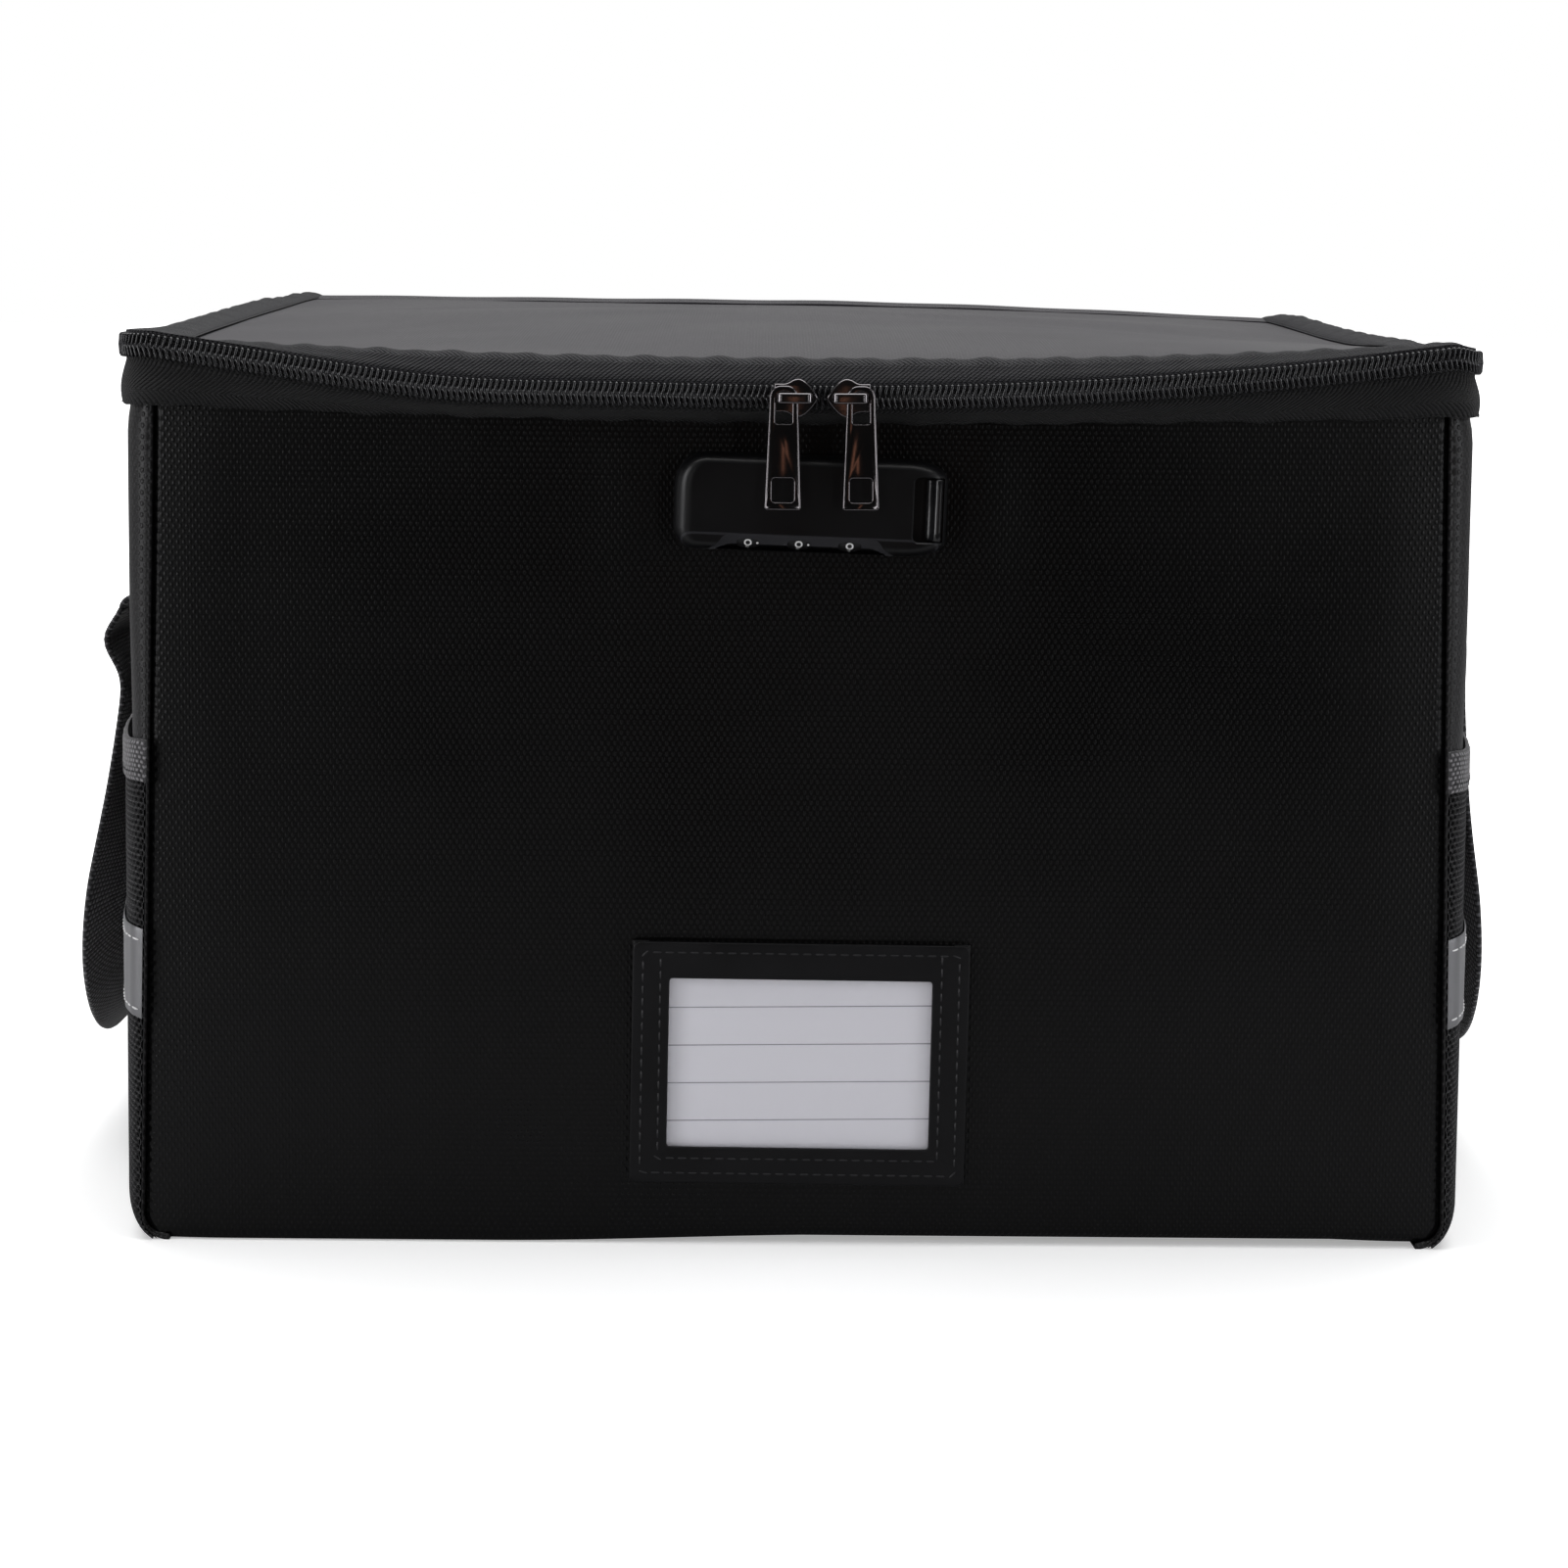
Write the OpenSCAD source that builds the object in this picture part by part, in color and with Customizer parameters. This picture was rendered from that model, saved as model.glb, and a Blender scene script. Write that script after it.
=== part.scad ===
/* [Body] */
// Widest distance over the bulging sides
body_w = 409; // [380:1:440]
// Depth between the front and back seams
body_d = 320; // [260:1:380]
// Width of the front panel at its bottom corners
front_bottom_w = 389.6; // [360:0.1:396]
// Width of the front panel where the zip tape is sewn on
front_top_w = 378.6; // [350:0.1:386]
// Height at which the zip tape is sewn to the panels
seam_z = 250; // [200:1:300]
// Radius of the front panel's lower corners
corner_r = 8; // [5:0.5:12]
// Radius of the wrap-round gusset's lower corners at mid depth
gusset_r = 18; // [12:1:26]
// How far the front panel bows out under its top edge
front_bow = 3; // [1:0.5:6]
// How far the front panel's top edge dips in the middle
seam_sag = 3.7; // [1:0.1:6]

/* [Layers] */
// Thickness of the coated outer cloth
skin_t = 1.2; // [0.8:0.1:1.8]
// Thickness of the stiffening boards
board_t = 3; // [2:0.5:5]
// Thickness of the lining
lining_t = 0.8; // [0.5:0.1:1.2]
// Clearance between layers that lie on each other
ply = 0.3; // [0.2:0.05:0.4]

/* [Zip] */
// Height of the zip's centre line at the front corners
zip_z = 266.8; // [264:0.1:272]
// How far the zip sags in the middle of the front
zip_sag = 12.8; // [10:0.1:13.4]
// How far the zip bows forward in the middle of the front
zip_bow = 12; // [9:0.5:14]
// How far the zip tape stands off the rim
zip_proud = 1.8; // [1.6:0.1:2.6]
// Thickness of the zip tape
tape_t = 1; // [0.7:0.1:1.2]
// Width over the two meshed coils
coil_w = 8; // [7:0.5:8.5]
// Thickness of the coils
coil_t = 3; // [2.4:0.1:3.6]
// Slit between the two coils that the slider's web runs in
coil_slit = 1.2; // [1.1:0.1:1.4]

/* [Lid] */
// Height of the lid at its front corners
lid_front_z = 272.6; // [272:0.1:276]
// Height of the lid at its rear edge
lid_rear_z = 281; // [279:0.5:288]
// How far the lid dips in the middle of its front edge
lid_dip = 8.6; // [6:0.1:10]
// How far the lid's front edge bows forward
lid_bow = 9; // [6:0.5:10]
// Width of the rolled band between the zip and the lid panel
lid_band = 6; // [5:0.5:9]

/* [Sliders and pulls] */
// Point on the front where the two sliders meet, right of the middle
meet_x = 5.4; // [-20:0.1:20]
// Length of a slider along the zip
slider_l = 12.7; // [11:0.1:14]
// Height of a slider across the zip
slider_h = 11; // [10:0.5:13]
// Gap between the sliders' noses
nose_gap = 2.3; // [1.5:0.1:4]
// Thickness of a slider's front and back plates
slider_t = 1.3; // [1:0.1:1.6]
// Length of a pull below the zip's centre line
pull_l = 32; // [26:0.5:40]
// Width of a pull at its top
pull_top_w = 8; // [7:0.1:8.5]
// Width of a pull at its tip
pull_tip_w = 10.6; // [9:0.1:13]
// Thickness of a pull
pull_t = 1.5; // [1:0.1:2]

/* [Combination lock] */
// Width of the lock housing
lock_w = 79; // [72:0.5:90]
// Height of the lock housing
lock_h = 28; // [27:0.5:34]
// Thickness of the lock housing
lock_t = 13; // [12.6:0.1:16]
// Corner radius of the lock housing
lock_r = 8; // [5:0.5:9]
// Sideways place of the lock, right of the middle
lock_x = 2.5; // [-20:0.1:20]
// Height of the lock's centre
lock_z = 223; // [200:0.5:226]
// How far the lock hangs out of level, in degrees
lock_tilt = 1.7; // [-3:0.1:3]
// Radius of a number wheel
wheel_r = 5.4; // [5:0.1:5.6]
// Width of a number wheel
wheel_w = 7; // [5:0.1:8]
// Distance between number wheels
wheel_pitch = 14.7; // [12:0.1:16]
// Radius of the wheels' axle
axle_r = 1.5; // [1:0.1:2]
// Travel of the release button
button_travel = 3; // [2:0.1:3.4]

/* [Label holder] */
// Width of the card
card_w = 90; // [80:1:96]
// Height of the card
card_h = 54; // [46:1:58]
// Thickness of the card
card_t = 0.4; // [0.3:0.1:0.5]
// Width of the label frame
label_w = 100; // [99:1:120]
// Height of the label frame
label_h = 73; // [70:1:90]
// Width of the window
window_w = 78; // [66:1:79]
// Height of the window
window_h = 51; // [40:1:52]
// Height of the label frame's lower edge
label_z = 18; // [8:1:60]
// Sideways place of the label, right of the middle
label_x = 1.5; // [-20:0.5:20]

/* [Side pockets] */
// Height of the pocket's top edge
pocket_z = 155; // [140:1:165]
// How far the pocket stands open at its top
pocket_gape = 5; // [4:0.5:10]
// Height of the webbing that binds the pocket's top
binding_h = 12; // [8:1:16]
// Thickness of the mesh
mesh_t = 1.2; // [0.8:0.1:1.6]
// Height of the reflective strip
strip_h = 26; // [15:1:30]
// Height of the reflective strip's lower edge
strip_z = 75; // [50:1:85]

/* [Handles] */
// Width of the handle webbing
web_w = 38; // [30:1:40]
// Thickness of the handle webbing
web_t = 1.8; // [1.4:0.1:2.2]
// Distance between the two ends of a handle
handle_span = 124; // [110:1:150]
// Height of the fold at which a handle hangs over
fold_z = 182; // [176:1:190]
// Lowest point of the hanging handle
handle_low_z = 27; // [20:1:60]
// How far the left handle twists outward, in degrees
left_splay = 23; // [8:1:35]
// How far the right handle twists outward, in degrees
right_splay = 11; // [8:1:35]
// How far the left handle's grip is turned outward, in degrees
left_turn = 40; // [20:1:80]
// How far the right handle's grip is turned outward, in degrees
right_turn = 30; // [20:1:80]

/* [Hidden] */
$fn = 48;
half_d = body_d / 2;
floor_half = front_bottom_w / 2 - corner_r;
board_in = skin_t + ply;
lining_in = board_in + board_t + ply;
wall_t = lining_in + lining_t;
tape_lap = 4;
eps = 0.01;

// ---- general shapes ----
function lerp(a, b, t) = a + (b - a) * t;
function steps(a, b, n) = [for (i = [0:n]) lerp(a, b, i / n)];

// Unit normal of a surface f(u, v), from two small steps along it
function surface_normal(f, u, v, du, dv) =
  let (n = cross(f(u + du, v) - f(u - du, v), f(u, v + dv) - f(u, v - dv)))
  n / norm(n);

// Sheet of cloth or board between two depths under a surface, measured square to it or along facing
module sheet(f, us, vs, top, under, du = 0.004, dv = 0.2, facing = undef) {
  nv = len(vs);
  count = len(us) * nv;
  out = [for (u = us) for (v = vs) is_undef(facing) ? surface_normal(f, u, v, du, dv) : facing];
  face = [for (u = us) for (v = vs) f(u, v)];
  skin = face - out * top;
  core = face - out * under;
  last_u = len(us) - 1;
  last_v = nv - 1;
  faces = concat(
    [for (i = [0:last_u - 1]) for (j = [0:last_v - 1]) each quad(i * nv + j, (i + 1) * nv + j,
      (i + 1) * nv + j + 1, i * nv + j + 1)],
    [for (i = [0:last_u - 1]) for (j = [0:last_v - 1]) each quad(count + i * nv + j,
      count + i * nv + j + 1, count + (i + 1) * nv + j + 1, count + (i + 1) * nv + j)],
    [for (i = [0:last_u - 1]) each quad((i + 1) * nv, i * nv, count + i * nv, count + (i + 1) * nv)],
    [for (i = [0:last_u - 1]) each quad(i * nv + last_v, (i + 1) * nv + last_v,
      count + (i + 1) * nv + last_v, count + i * nv + last_v)],
    [for (j = [0:last_v - 1]) each quad(j, j + 1, count + j + 1, count + j)],
    [for (j = [0:last_v - 1]) each quad(last_u * nv + j + 1, last_u * nv + j,
      count + last_u * nv + j, count + last_u * nv + j + 1)]);
  polyhedron(points = concat(skin, core), faces = [for (f = faces) [f[2], f[1], f[0]]]);
}

// Two triangles of a four-sided face
function quad(a, b, c, d) = [[a, b, c], [a, c, d]];

// Solid through a row of closed rings, each with as many points
module sweep(rings) {
  m = len(rings[0]);
  last = len(rings) - 1;
  faces = concat(
    [for (i = [0:last - 1]) for (j = [0:m - 1]) each quad(i * m + j, i * m + (j + 1) % m,
      (i + 1) * m + (j + 1) % m, (i + 1) * m + j)],
    [[for (j = [m - 1:-1:0]) j]],
    [[for (j = [0:m - 1]) last * m + j]]);
  polyhedron(points = [for (r = rings) each r], faces = [for (f = faces) [for (k = [len(f) - 1:-1:0]) f[k]]]);
}

// Rectangle with round corners, centred
module round_rect(w, h, r) {
  square([w - 2 * r, h], center = true);
  square([w, h - 2 * r], center = true);
  for (x = [-1, 1])
    for (y = [-1, 1])
      translate([x * (w / 2 - r), y * (h / 2 - r)])
        circle(r);
}

// Draws a flat outline upright, facing the front, from y = 0 forward by t
module upright(t) {
  rotate([90, 0, 0])
    linear_extrude(t)
      children();
}

// ---- surfaces of the body ----
// How full the side is at angle a, from the front seam at -90 to the back seam at 90
function belly(a) = cos(a) * sqrt(1 + sin(a) * sin(a));

// Outline of the front and back panels: k from 0 at the top seam to 1 at the corner and 2 on the floor
function seam_point(k) = k <= 1
  ? [lerp(front_top_w, front_bottom_w, k) / 2, lerp(seam_z, corner_r, k)]
  : [floor_half + corner_r * cos(90 * (k - 1)), corner_r * (1 - sin(90 * (k - 1)))];

// Outline of the gusset at mid depth
function mid_point(k) = k <= 1
  ? [body_w / 2, lerp(seam_z, gusset_r, k)]
  : [lerp(floor_half, body_w / 2, cos(90 * (k - 1))), gusset_r * (1 - sin(90 * (k - 1)))];

function seam_k(z) = (seam_z - z) / (seam_z - corner_r);
top_k = seam_k(seam_z + tape_lap);

side_face = function(k, a)
  let (c = max(-89.5, min(89.5, a)), p = lerp(seam_point(k), mid_point(k), belly(c)))
  [p[0], half_d * sin(c), p[1]];

// Sag of the zip, 1 in the middle and 0 at the corners, so that its line is a circular arc
zip_drop = norm([zip_bow, zip_sag]);
zip_r = (pow(front_top_w / 2, 2) + pow(zip_drop, 2)) / (2 * zip_drop);
function sag_at(x) = (sqrt(zip_r * zip_r - x * x) - (zip_r - zip_drop)) / zip_drop;
function sag_part(u) = sag_at(u * front_top_w / 2);

function front_rise(z) = pow(min(1, max(0, z / seam_z)), 4);
front_face = function(k, u)
  let (p = seam_point(k), s = sag_part(u) * front_rise(p[1]))
  [u * p[0], -half_d - front_bow * s, p[1] - seam_sag * s];

side_angles = concat([-89], steps(-75, 75, 10), [89]);
wall_ks = [top_k, 0.5, 1];
side_ks = concat(wall_ks, [1.25, 1.5, 1.75, 1.99]);
front_us = steps(-1, 1, 8);
front_ks = [top_k, 0, 0.05, 0.12, 0.2, 0.32, 0.5, 0.75, 1];

module front_sheet(top, under, ks, edge) {
  us = [for (u = front_us) u * (1 - edge / (front_top_w / 2))];
  sheet(front_face, ks, us, top, under, 0.002, 0.004);
}

module side_sheet(top, under, ks, face = side_face) {
  sheet(face, ks, side_angles, top, under, 0.002, 0.2);
}

// Half of the back panel's outline, inset by edge, from its top to the floor
corner_steps = 8;
function half_outline(edge, top_z) = concat(
  [seam_point(seam_k(top_z)) - [edge, 0]],
  [for (t = steps(0, 90, corner_steps)) [floor_half, corner_r] + (corner_r - edge) * [cos(t), -sin(t)]]);

module back_outline(edge, top_z) {
  half = half_outline(edge, top_z);
  polygon(concat(half, [for (i = [len(half) - 1:-1:0]) [-half[i][0], half[i][1]]]));
}

// ---- outer cloth ----
seam_gap = 2 * ply;
module front_panel() {
  color([0.09, 0.09, 0.095])
    difference() {
      front_sheet(0, skin_t, concat(front_ks, [1.3, 1.6, 1.99]), seam_gap);
      lock_screw_holes();
    }
}

module back_panel() {
  color([0.09, 0.09, 0.095])
    translate([0, half_d, 0])
      upright(skin_t)
        back_outline(seam_gap, back_top_z);
}

module side_panel() {
  color([0.12, 0.12, 0.125])
    side_sheet(0, skin_t, side_ks);
}

module left_side_panel() {
  mirror([1, 0, 0])
    side_panel();
}

module right_side_panel() {
  side_panel();
}

module bottom_panel() {
  color([0.09, 0.09, 0.095])
    floor_sheet(floor_half - ply, half_d - skin_t - ply, 0, skin_t);
}

module floor_sheet(half_x, half_y, z, t) {
  translate([-half_x, -half_y, z])
    cube([2 * half_x, 2 * half_y, t]);
}

// ---- stiffening boards ----
module front_board() {
  color([0.55, 0.52, 0.46])
    difference() {
      front_sheet(board_in, board_in + board_t, front_ks, board_margin);
      lock_screw_holes();
    }
}

board_margin = 2;
module back_board() {
  color([0.55, 0.52, 0.46])
    translate([0, half_d - board_in, 0])
      upright(board_t)
        back_outline(lining_in, seam_z);
}

module side_board() {
  color([0.55, 0.52, 0.46])
    side_sheet(board_in, board_in + board_t, wall_ks);
}

module left_board() {
  mirror([1, 0, 0])
    side_board();
}

module right_board() {
  side_board();
}

module bottom_board() {
  color([0.55, 0.52, 0.46])
    floor_sheet(floor_half - board_margin, half_d - board_in - board_t - ply, board_in, board_t);
}

// ---- lining ----
module front_lining() {
  color([0.16, 0.16, 0.17])
    difference() {
      front_sheet(lining_in, lining_in + lining_t, front_ks, board_margin);
      lock_screw_holes();
    }
}

module back_lining() {
  color([0.16, 0.16, 0.17])
    translate([0, half_d - lining_in, 0])
      upright(lining_t)
        back_outline(lining_in, seam_z);
}

module side_lining() {
  color([0.16, 0.16, 0.17])
    side_sheet(lining_in, lining_in + lining_t, wall_ks);
}

module left_lining() {
  mirror([1, 0, 0])
    side_lining();
}

module right_lining() {
  side_lining();
}

module bottom_lining() {
  color([0.16, 0.16, 0.17])
    floor_sheet(floor_half - board_margin, half_d - wall_t - ply, lining_in, lining_t);
}

// ---- rim: stations [x, y, outward x, outward y, sag] from the left rear round the front ----
zip_end_a = 78;
function rim_x(a) = lerp(front_top_w, body_w, belly(a)) / 2;
function side_station(a) =
  let (c = max(-89.5, min(89.5, a)), h = 0.2,
    t = [rim_x(c + h) - rim_x(c - h), half_d * (sin(c + h) - sin(c - h))], n = t / norm(t))
  [rim_x(a), half_d * sin(a), n[1], -n[0], 0];
function flip(s) = [-s[0], s[1], -s[2], s[3], s[4]];
function front_station(u) = [u * front_top_w / 2, -half_d, 0, -1, sag_part(u)];
rim_angles = concat(steps(zip_end_a, -75, 9), [-82, -89.9]);
front_rim_us = steps(-0.9, 0.9, 18);
rim = concat(
  [for (a = rim_angles) flip(side_station(a))],
  [for (u = front_rim_us) front_station(u)],
  [for (i = [len(rim_angles) - 1:-1:0]) side_station(rim_angles[i])]);

// Point that stands a distance out from a station, at a height
function rim_point(s, out, z) = [s[0] + s[2] * out, s[1] + s[3] * out, z];
function zip_out(s) = zip_proud + zip_bow * s[4];
function zip_height(s) = zip_z - zip_sag * s[4];
coil_h = (coil_w - coil_slit) / 2;
tape_flat = coil_h + coil_slit / 2 + 0.3;

function lower_tape_ring(s) =
  let (foot = front_bow * s[4] + ply + tape_t, foot_z = seam_z - seam_sag * s[4],
    out = zip_out(s), knee = zip_height(s) - tape_flat, head = zip_height(s) - coil_slit / 2,
    lean = min(1, max(0, (out - foot) / (knee - foot_z))) * tape_t)
  [rim_point(s, foot, foot_z), rim_point(s, out, knee), rim_point(s, out, head),
    rim_point(s, out - tape_t, head), rim_point(s, out - tape_t, knee + lean),
    rim_point(s, foot - tape_t, foot_z + lean)];

module lower_zip_tape() {
  color([0.05, 0.05, 0.055])
    sweep([for (s = rim) lower_tape_ring(s)]);
}

// One half of the zip's coil, above or below the slit
function coil_ring(s, up) =
  let (near = zip_out(s) + ply, far = near + coil_t, c = coil_t * 0.3,
    z0 = zip_height(s) + up * coil_slit / 2, z1 = z0 + up * coil_h)
  [rim_point(s, near, z0), rim_point(s, far - c, z0), rim_point(s, far, z0 + up * c), rim_point(s, far, z1 - up * c),
    rim_point(s, far - c, z1), rim_point(s, near, z1)];

module lower_zip_coil() {
  color([0.13, 0.13, 0.14])
    sweep([for (s = rim) [for (i = [5:-1:0]) coil_ring(s, -1)[i]]]);
}

module upper_zip_coil() {
  color([0.13, 0.13, 0.14])
    sweep([for (s = rim) coil_ring(s, 1)]);
}

// Cloth tabs that close the zip's rear ends
tab_h = 10;
function tab_ring(s) =
  [rim_point(s, ply, zip_height(s) - tab_h), rim_point(s, ply, zip_height(s)),
    rim_point(s, ply + tape_t, zip_height(s)), rim_point(s, ply + tape_t, zip_height(s) - tab_h)];

module zip_end_tabs() {
  rings = [for (a = [zip_end_a + 0.4, 84, 89]) tab_ring(side_station(a))];
  color([0.07, 0.07, 0.075]) {
    sweep(rings);
    mirror([1, 0, 0])
      sweep(rings);
  }
}

// ---- lid ----
function lid_side_z(y) = lerp(lid_front_z, lid_rear_z, (y + half_d) / body_d);
function lid_edge_out(s) = lid_bow * s[4] - lid_band;
function lid_edge_z(s) = lid_side_z(s[1]) - lid_dip * s[4];

roll_angles = [0, 30, 60, 90];
function upper_tape_ring(s) =
  let (out = zip_out(s), head = zip_height(s) + coil_slit / 2, knee = zip_height(s) + tape_flat,
    edge = lid_edge_out(s), top = lid_edge_z(s))
  concat(
    [rim_point(s, out, head)],
    [for (t = roll_angles) rim_point(s, lerp(edge, out, cos(t)), lerp(knee, top, sin(t)))],
    [for (i = [len(roll_angles) - 1:-1:0]) let (t = roll_angles[i])
      rim_point(s, lerp(edge, out, cos(t)) - tape_t * cos(t), lerp(knee, top, sin(t)) - tape_t * sin(t))],
    [rim_point(s, out - tape_t, head)]);

module upper_zip_tape() {
  color([0.1, 0.1, 0.11])
    sweep([for (s = rim) upper_tape_ring(s)]);
}

// Top face of the lid: u across, a from the front edge at -90 to the rear edge at 90
lid_face = function(u, a)
  let (s = side_station(a), inset = lid_band + seam_gap,
    e = [s[0] - s[2] * inset, s[1] - sign(s[1]) * abs(s[3]) * inset],
    fade = pow(0.5 - 0.5 * sin(a), 4), w = sag_part(u))
  [u * e[0], e[1] - lid_bow * w * fade, lid_side_z(s[1]) - lid_dip * w * fade];

lid_angles = concat([-89], steps(-75, 75, 10), [89]);
module lid_sheet(top, under, edge) {
  us = [for (u = front_us) u * (1 - edge / (front_top_w / 2))];
  as = [for (a = lid_angles) a * (1 - edge / 40)];
  sheet(lid_face, us, as, top, under, facing = [0, 0, 1]);
}

module lid_panel() {
  color([0.36, 0.35, 0.37])
    lid_sheet(0, skin_t, 0);
}

module lid_board() {
  color([0.55, 0.52, 0.46])
    lid_sheet(board_in, board_in + board_t, 4);
}

module lid_lining() {
  color([0.16, 0.16, 0.17])
    lid_sheet(lining_in, lining_in + lining_t, 2);
}

// Folded strip of cloth that joins the back panel to the lid
fold_r = 4;
leaf_l = 12;
hinge_t = 0.8;
hinge_y = half_d + ply;
hinge_top = lid_rear_z + ply;
back_top_z = hinge_top - fold_r + hinge_t;
module hinge_strip() {
  arc = steps(0, 90, 6);
  centre = [hinge_y + hinge_t - fold_r, hinge_top + hinge_t - fold_r];
  color([0.09, 0.09, 0.095])
    translate([-front_top_w / 2 + board_margin, 0, 0])
      rotate([90, 0, 90])
        linear_extrude(front_top_w - 2 * board_margin)
          polygon(concat(
            [[centre[0] + fold_r, centre[1] - leaf_l]],
            [for (t = arc) centre + fold_r * [cos(t), sin(t)]],
            [[centre[0] - leaf_l, centre[1] + fold_r], [centre[0] - leaf_l, centre[1] + fold_r - hinge_t]],
            [for (i = [6:-1:0]) centre + (fold_r - hinge_t) * [cos(arc[i]), sin(arc[i])]],
            [[centre[0] + fold_r - hinge_t, centre[1] - leaf_l]]));
}

// ---- sliders and pulls, drawn in the middle of the zip and turned along its arc ----
arc_mid = [0, -half_d - zip_proud - zip_bow, zip_z - zip_sag];
arc_centre = arc_mid + zip_r / zip_drop * [0, zip_bow, zip_sag];
arc_axis = [0, zip_sag, -zip_bow] / zip_drop;
slider_gap = 0.7;
front_plate_y = -ply - coil_t - slider_gap;
back_plate_y = tape_t + slider_gap;
web_t_slider = 0.5;
bow_gap = pull_t + 0.8;
bow_h = 3;
bow_t = 1.5;
foot_l = 1.5;
foot_x = slider_l / 2 - 2.1 - foot_l / 2;
plate_z = slider_h / 2;
back_plate_h = 2 * (tape_flat - tape_t - ply);

module on_zip(x) {
  translate(arc_centre)
    rotate(a = asin(x / zip_r), v = -arc_axis)
      translate(arc_mid - arc_centre)
        children();
}

// Slider whose nose points to +X
module slider() {
  color([0.32, 0.31, 0.32]) {
    difference() {
      union() {
        translate([0, front_plate_y, 0])
          upright(slider_t)
            slider_outline();
        translate([0, back_plate_y + slider_t, 0])
          upright(slider_t)
            round_rect(slider_l, back_plate_h, 2);
        translate([-slider_l / 2 + 2, front_plate_y - eps, -web_t_slider / 2])
          cube([slider_l - 4, back_plate_y - front_plate_y + 2 * eps, web_t_slider]);
        translate([-foot_x - foot_l / 2, front_plate_y - slider_t - bow_gap - bow_t, -bow_h / 2])
          cube([2 * foot_x + foot_l, bow_t + bow_gap + eps, bow_h]);
      }
      translate([-foot_x + foot_l / 2, front_plate_y - slider_t - bow_gap, -bow_h])
        cube([2 * foot_x - foot_l, bow_gap, 2 * bow_h]);
    }
  }
}

module slider_outline() {
  round_rect(slider_l, slider_h * 0.62, 2);
  translate([slider_l / 2 - plate_z, 0])
    circle(plate_z);
}

slider_x = (slider_l + nose_gap) / 2;
module left_slider() {
  on_zip(meet_x - slider_x)
    slider();
}

module right_slider() {
  on_zip(meet_x + slider_x)
    mirror([1, 0, 0])
      slider();
}

// Pull that hangs with its eye round the bow's outer foot
eye_w = foot_l + 2 * 1.5;
eye_top = bow_h / 2 + 0.5;
eye_l = 9;
rim_w = (pull_top_w - eye_w) / 2;
tip_hole = pull_tip_w * 0.54;
module pull() {
  color([0.3, 0.29, 0.3])
    translate([-foot_x, front_plate_y - slider_t - (bow_gap - pull_t) / 2, 0])
      upright(pull_t)
        difference() {
          polygon([[-pull_top_w / 2, eye_top + rim_w], [pull_top_w / 2, eye_top + rim_w],
            [pull_tip_w / 2, -pull_l], [-pull_tip_w / 2, -pull_l]]);
          translate([-eye_w / 2, eye_top - eye_l])
            square([eye_w, eye_l]);
          translate([-tip_hole / 2, -pull_l + 2])
            square(tip_hole);
        }
}

module left_pull() {
  on_zip(meet_x - slider_x)
    pull();
}

module right_pull() {
  on_zip(meet_x + slider_x)
    mirror([1, 0, 0])
      pull();
}

// ---- combination lock, drawn about its own centre with its back at y = 0 ----
lock_back_y = -half_d - front_bow * front_rise(lock_z + lock_h / 2) - ply;
wheel_y = -lock_t + wheel_r + 0.1;
wheel_z = -lock_h / 2 + wheel_r + 0.1;
bay_c = 5;
axle_gap = 0.05;
wheel_gap = 0.4;
wheel_x0 = -3;
bay_w = 2 * wheel_pitch + wheel_w + 8;
button_w = 4.8;
recess_w = button_w + button_travel + 2 * wheel_gap;
recess_h = 19;
recess_d = 4;
rim_right = 1.2;
button_x = lock_w / 2 - rim_right - wheel_gap - button_w / 2;
recess_x = lock_w / 2 - rim_right - recess_w / 2;
recess_z = 0;
bar_z = 5;
bar_h = 5;
bar_t = 1.5;
bar_y = -4;
bar_l = lock_w * 0.64;
hook_w = 2.4;
hook_t = 1.2;
hook_h = 2;
hook_nose = 1.2;
stem_w = 2.4;
pull_slot_x = 12;
screw_x = 26;
screw_r = 1.5;
screw_hole_r = 1.6;
boss_r = 3.2;
screw_in = 5;

module at_lock() {
  translate([lock_x, lock_back_y, lock_z])
    rotate([0, lock_tilt, 0])
      children();
}

// Cylinder along X
module rod(r, x0, x1, y, z) {
  translate([x0, y, z])
    rotate([0, 90, 0])
      cylinder(r = r, h = x1 - x0);
}

// Box from its lowest corner to its highest
module box(a, b) {
  translate(a)
    cube(b - a);
}

bar_x1 = button_x + stem_w / 2;
bar_x0 = bar_x1 - bar_l;
spring_l = 8;
axle_x0 = wheel_x0 - wheel_pitch - wheel_w / 2 - 3;
axle_x1 = wheel_x0 + wheel_pitch + wheel_w / 2 + 3;

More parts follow.
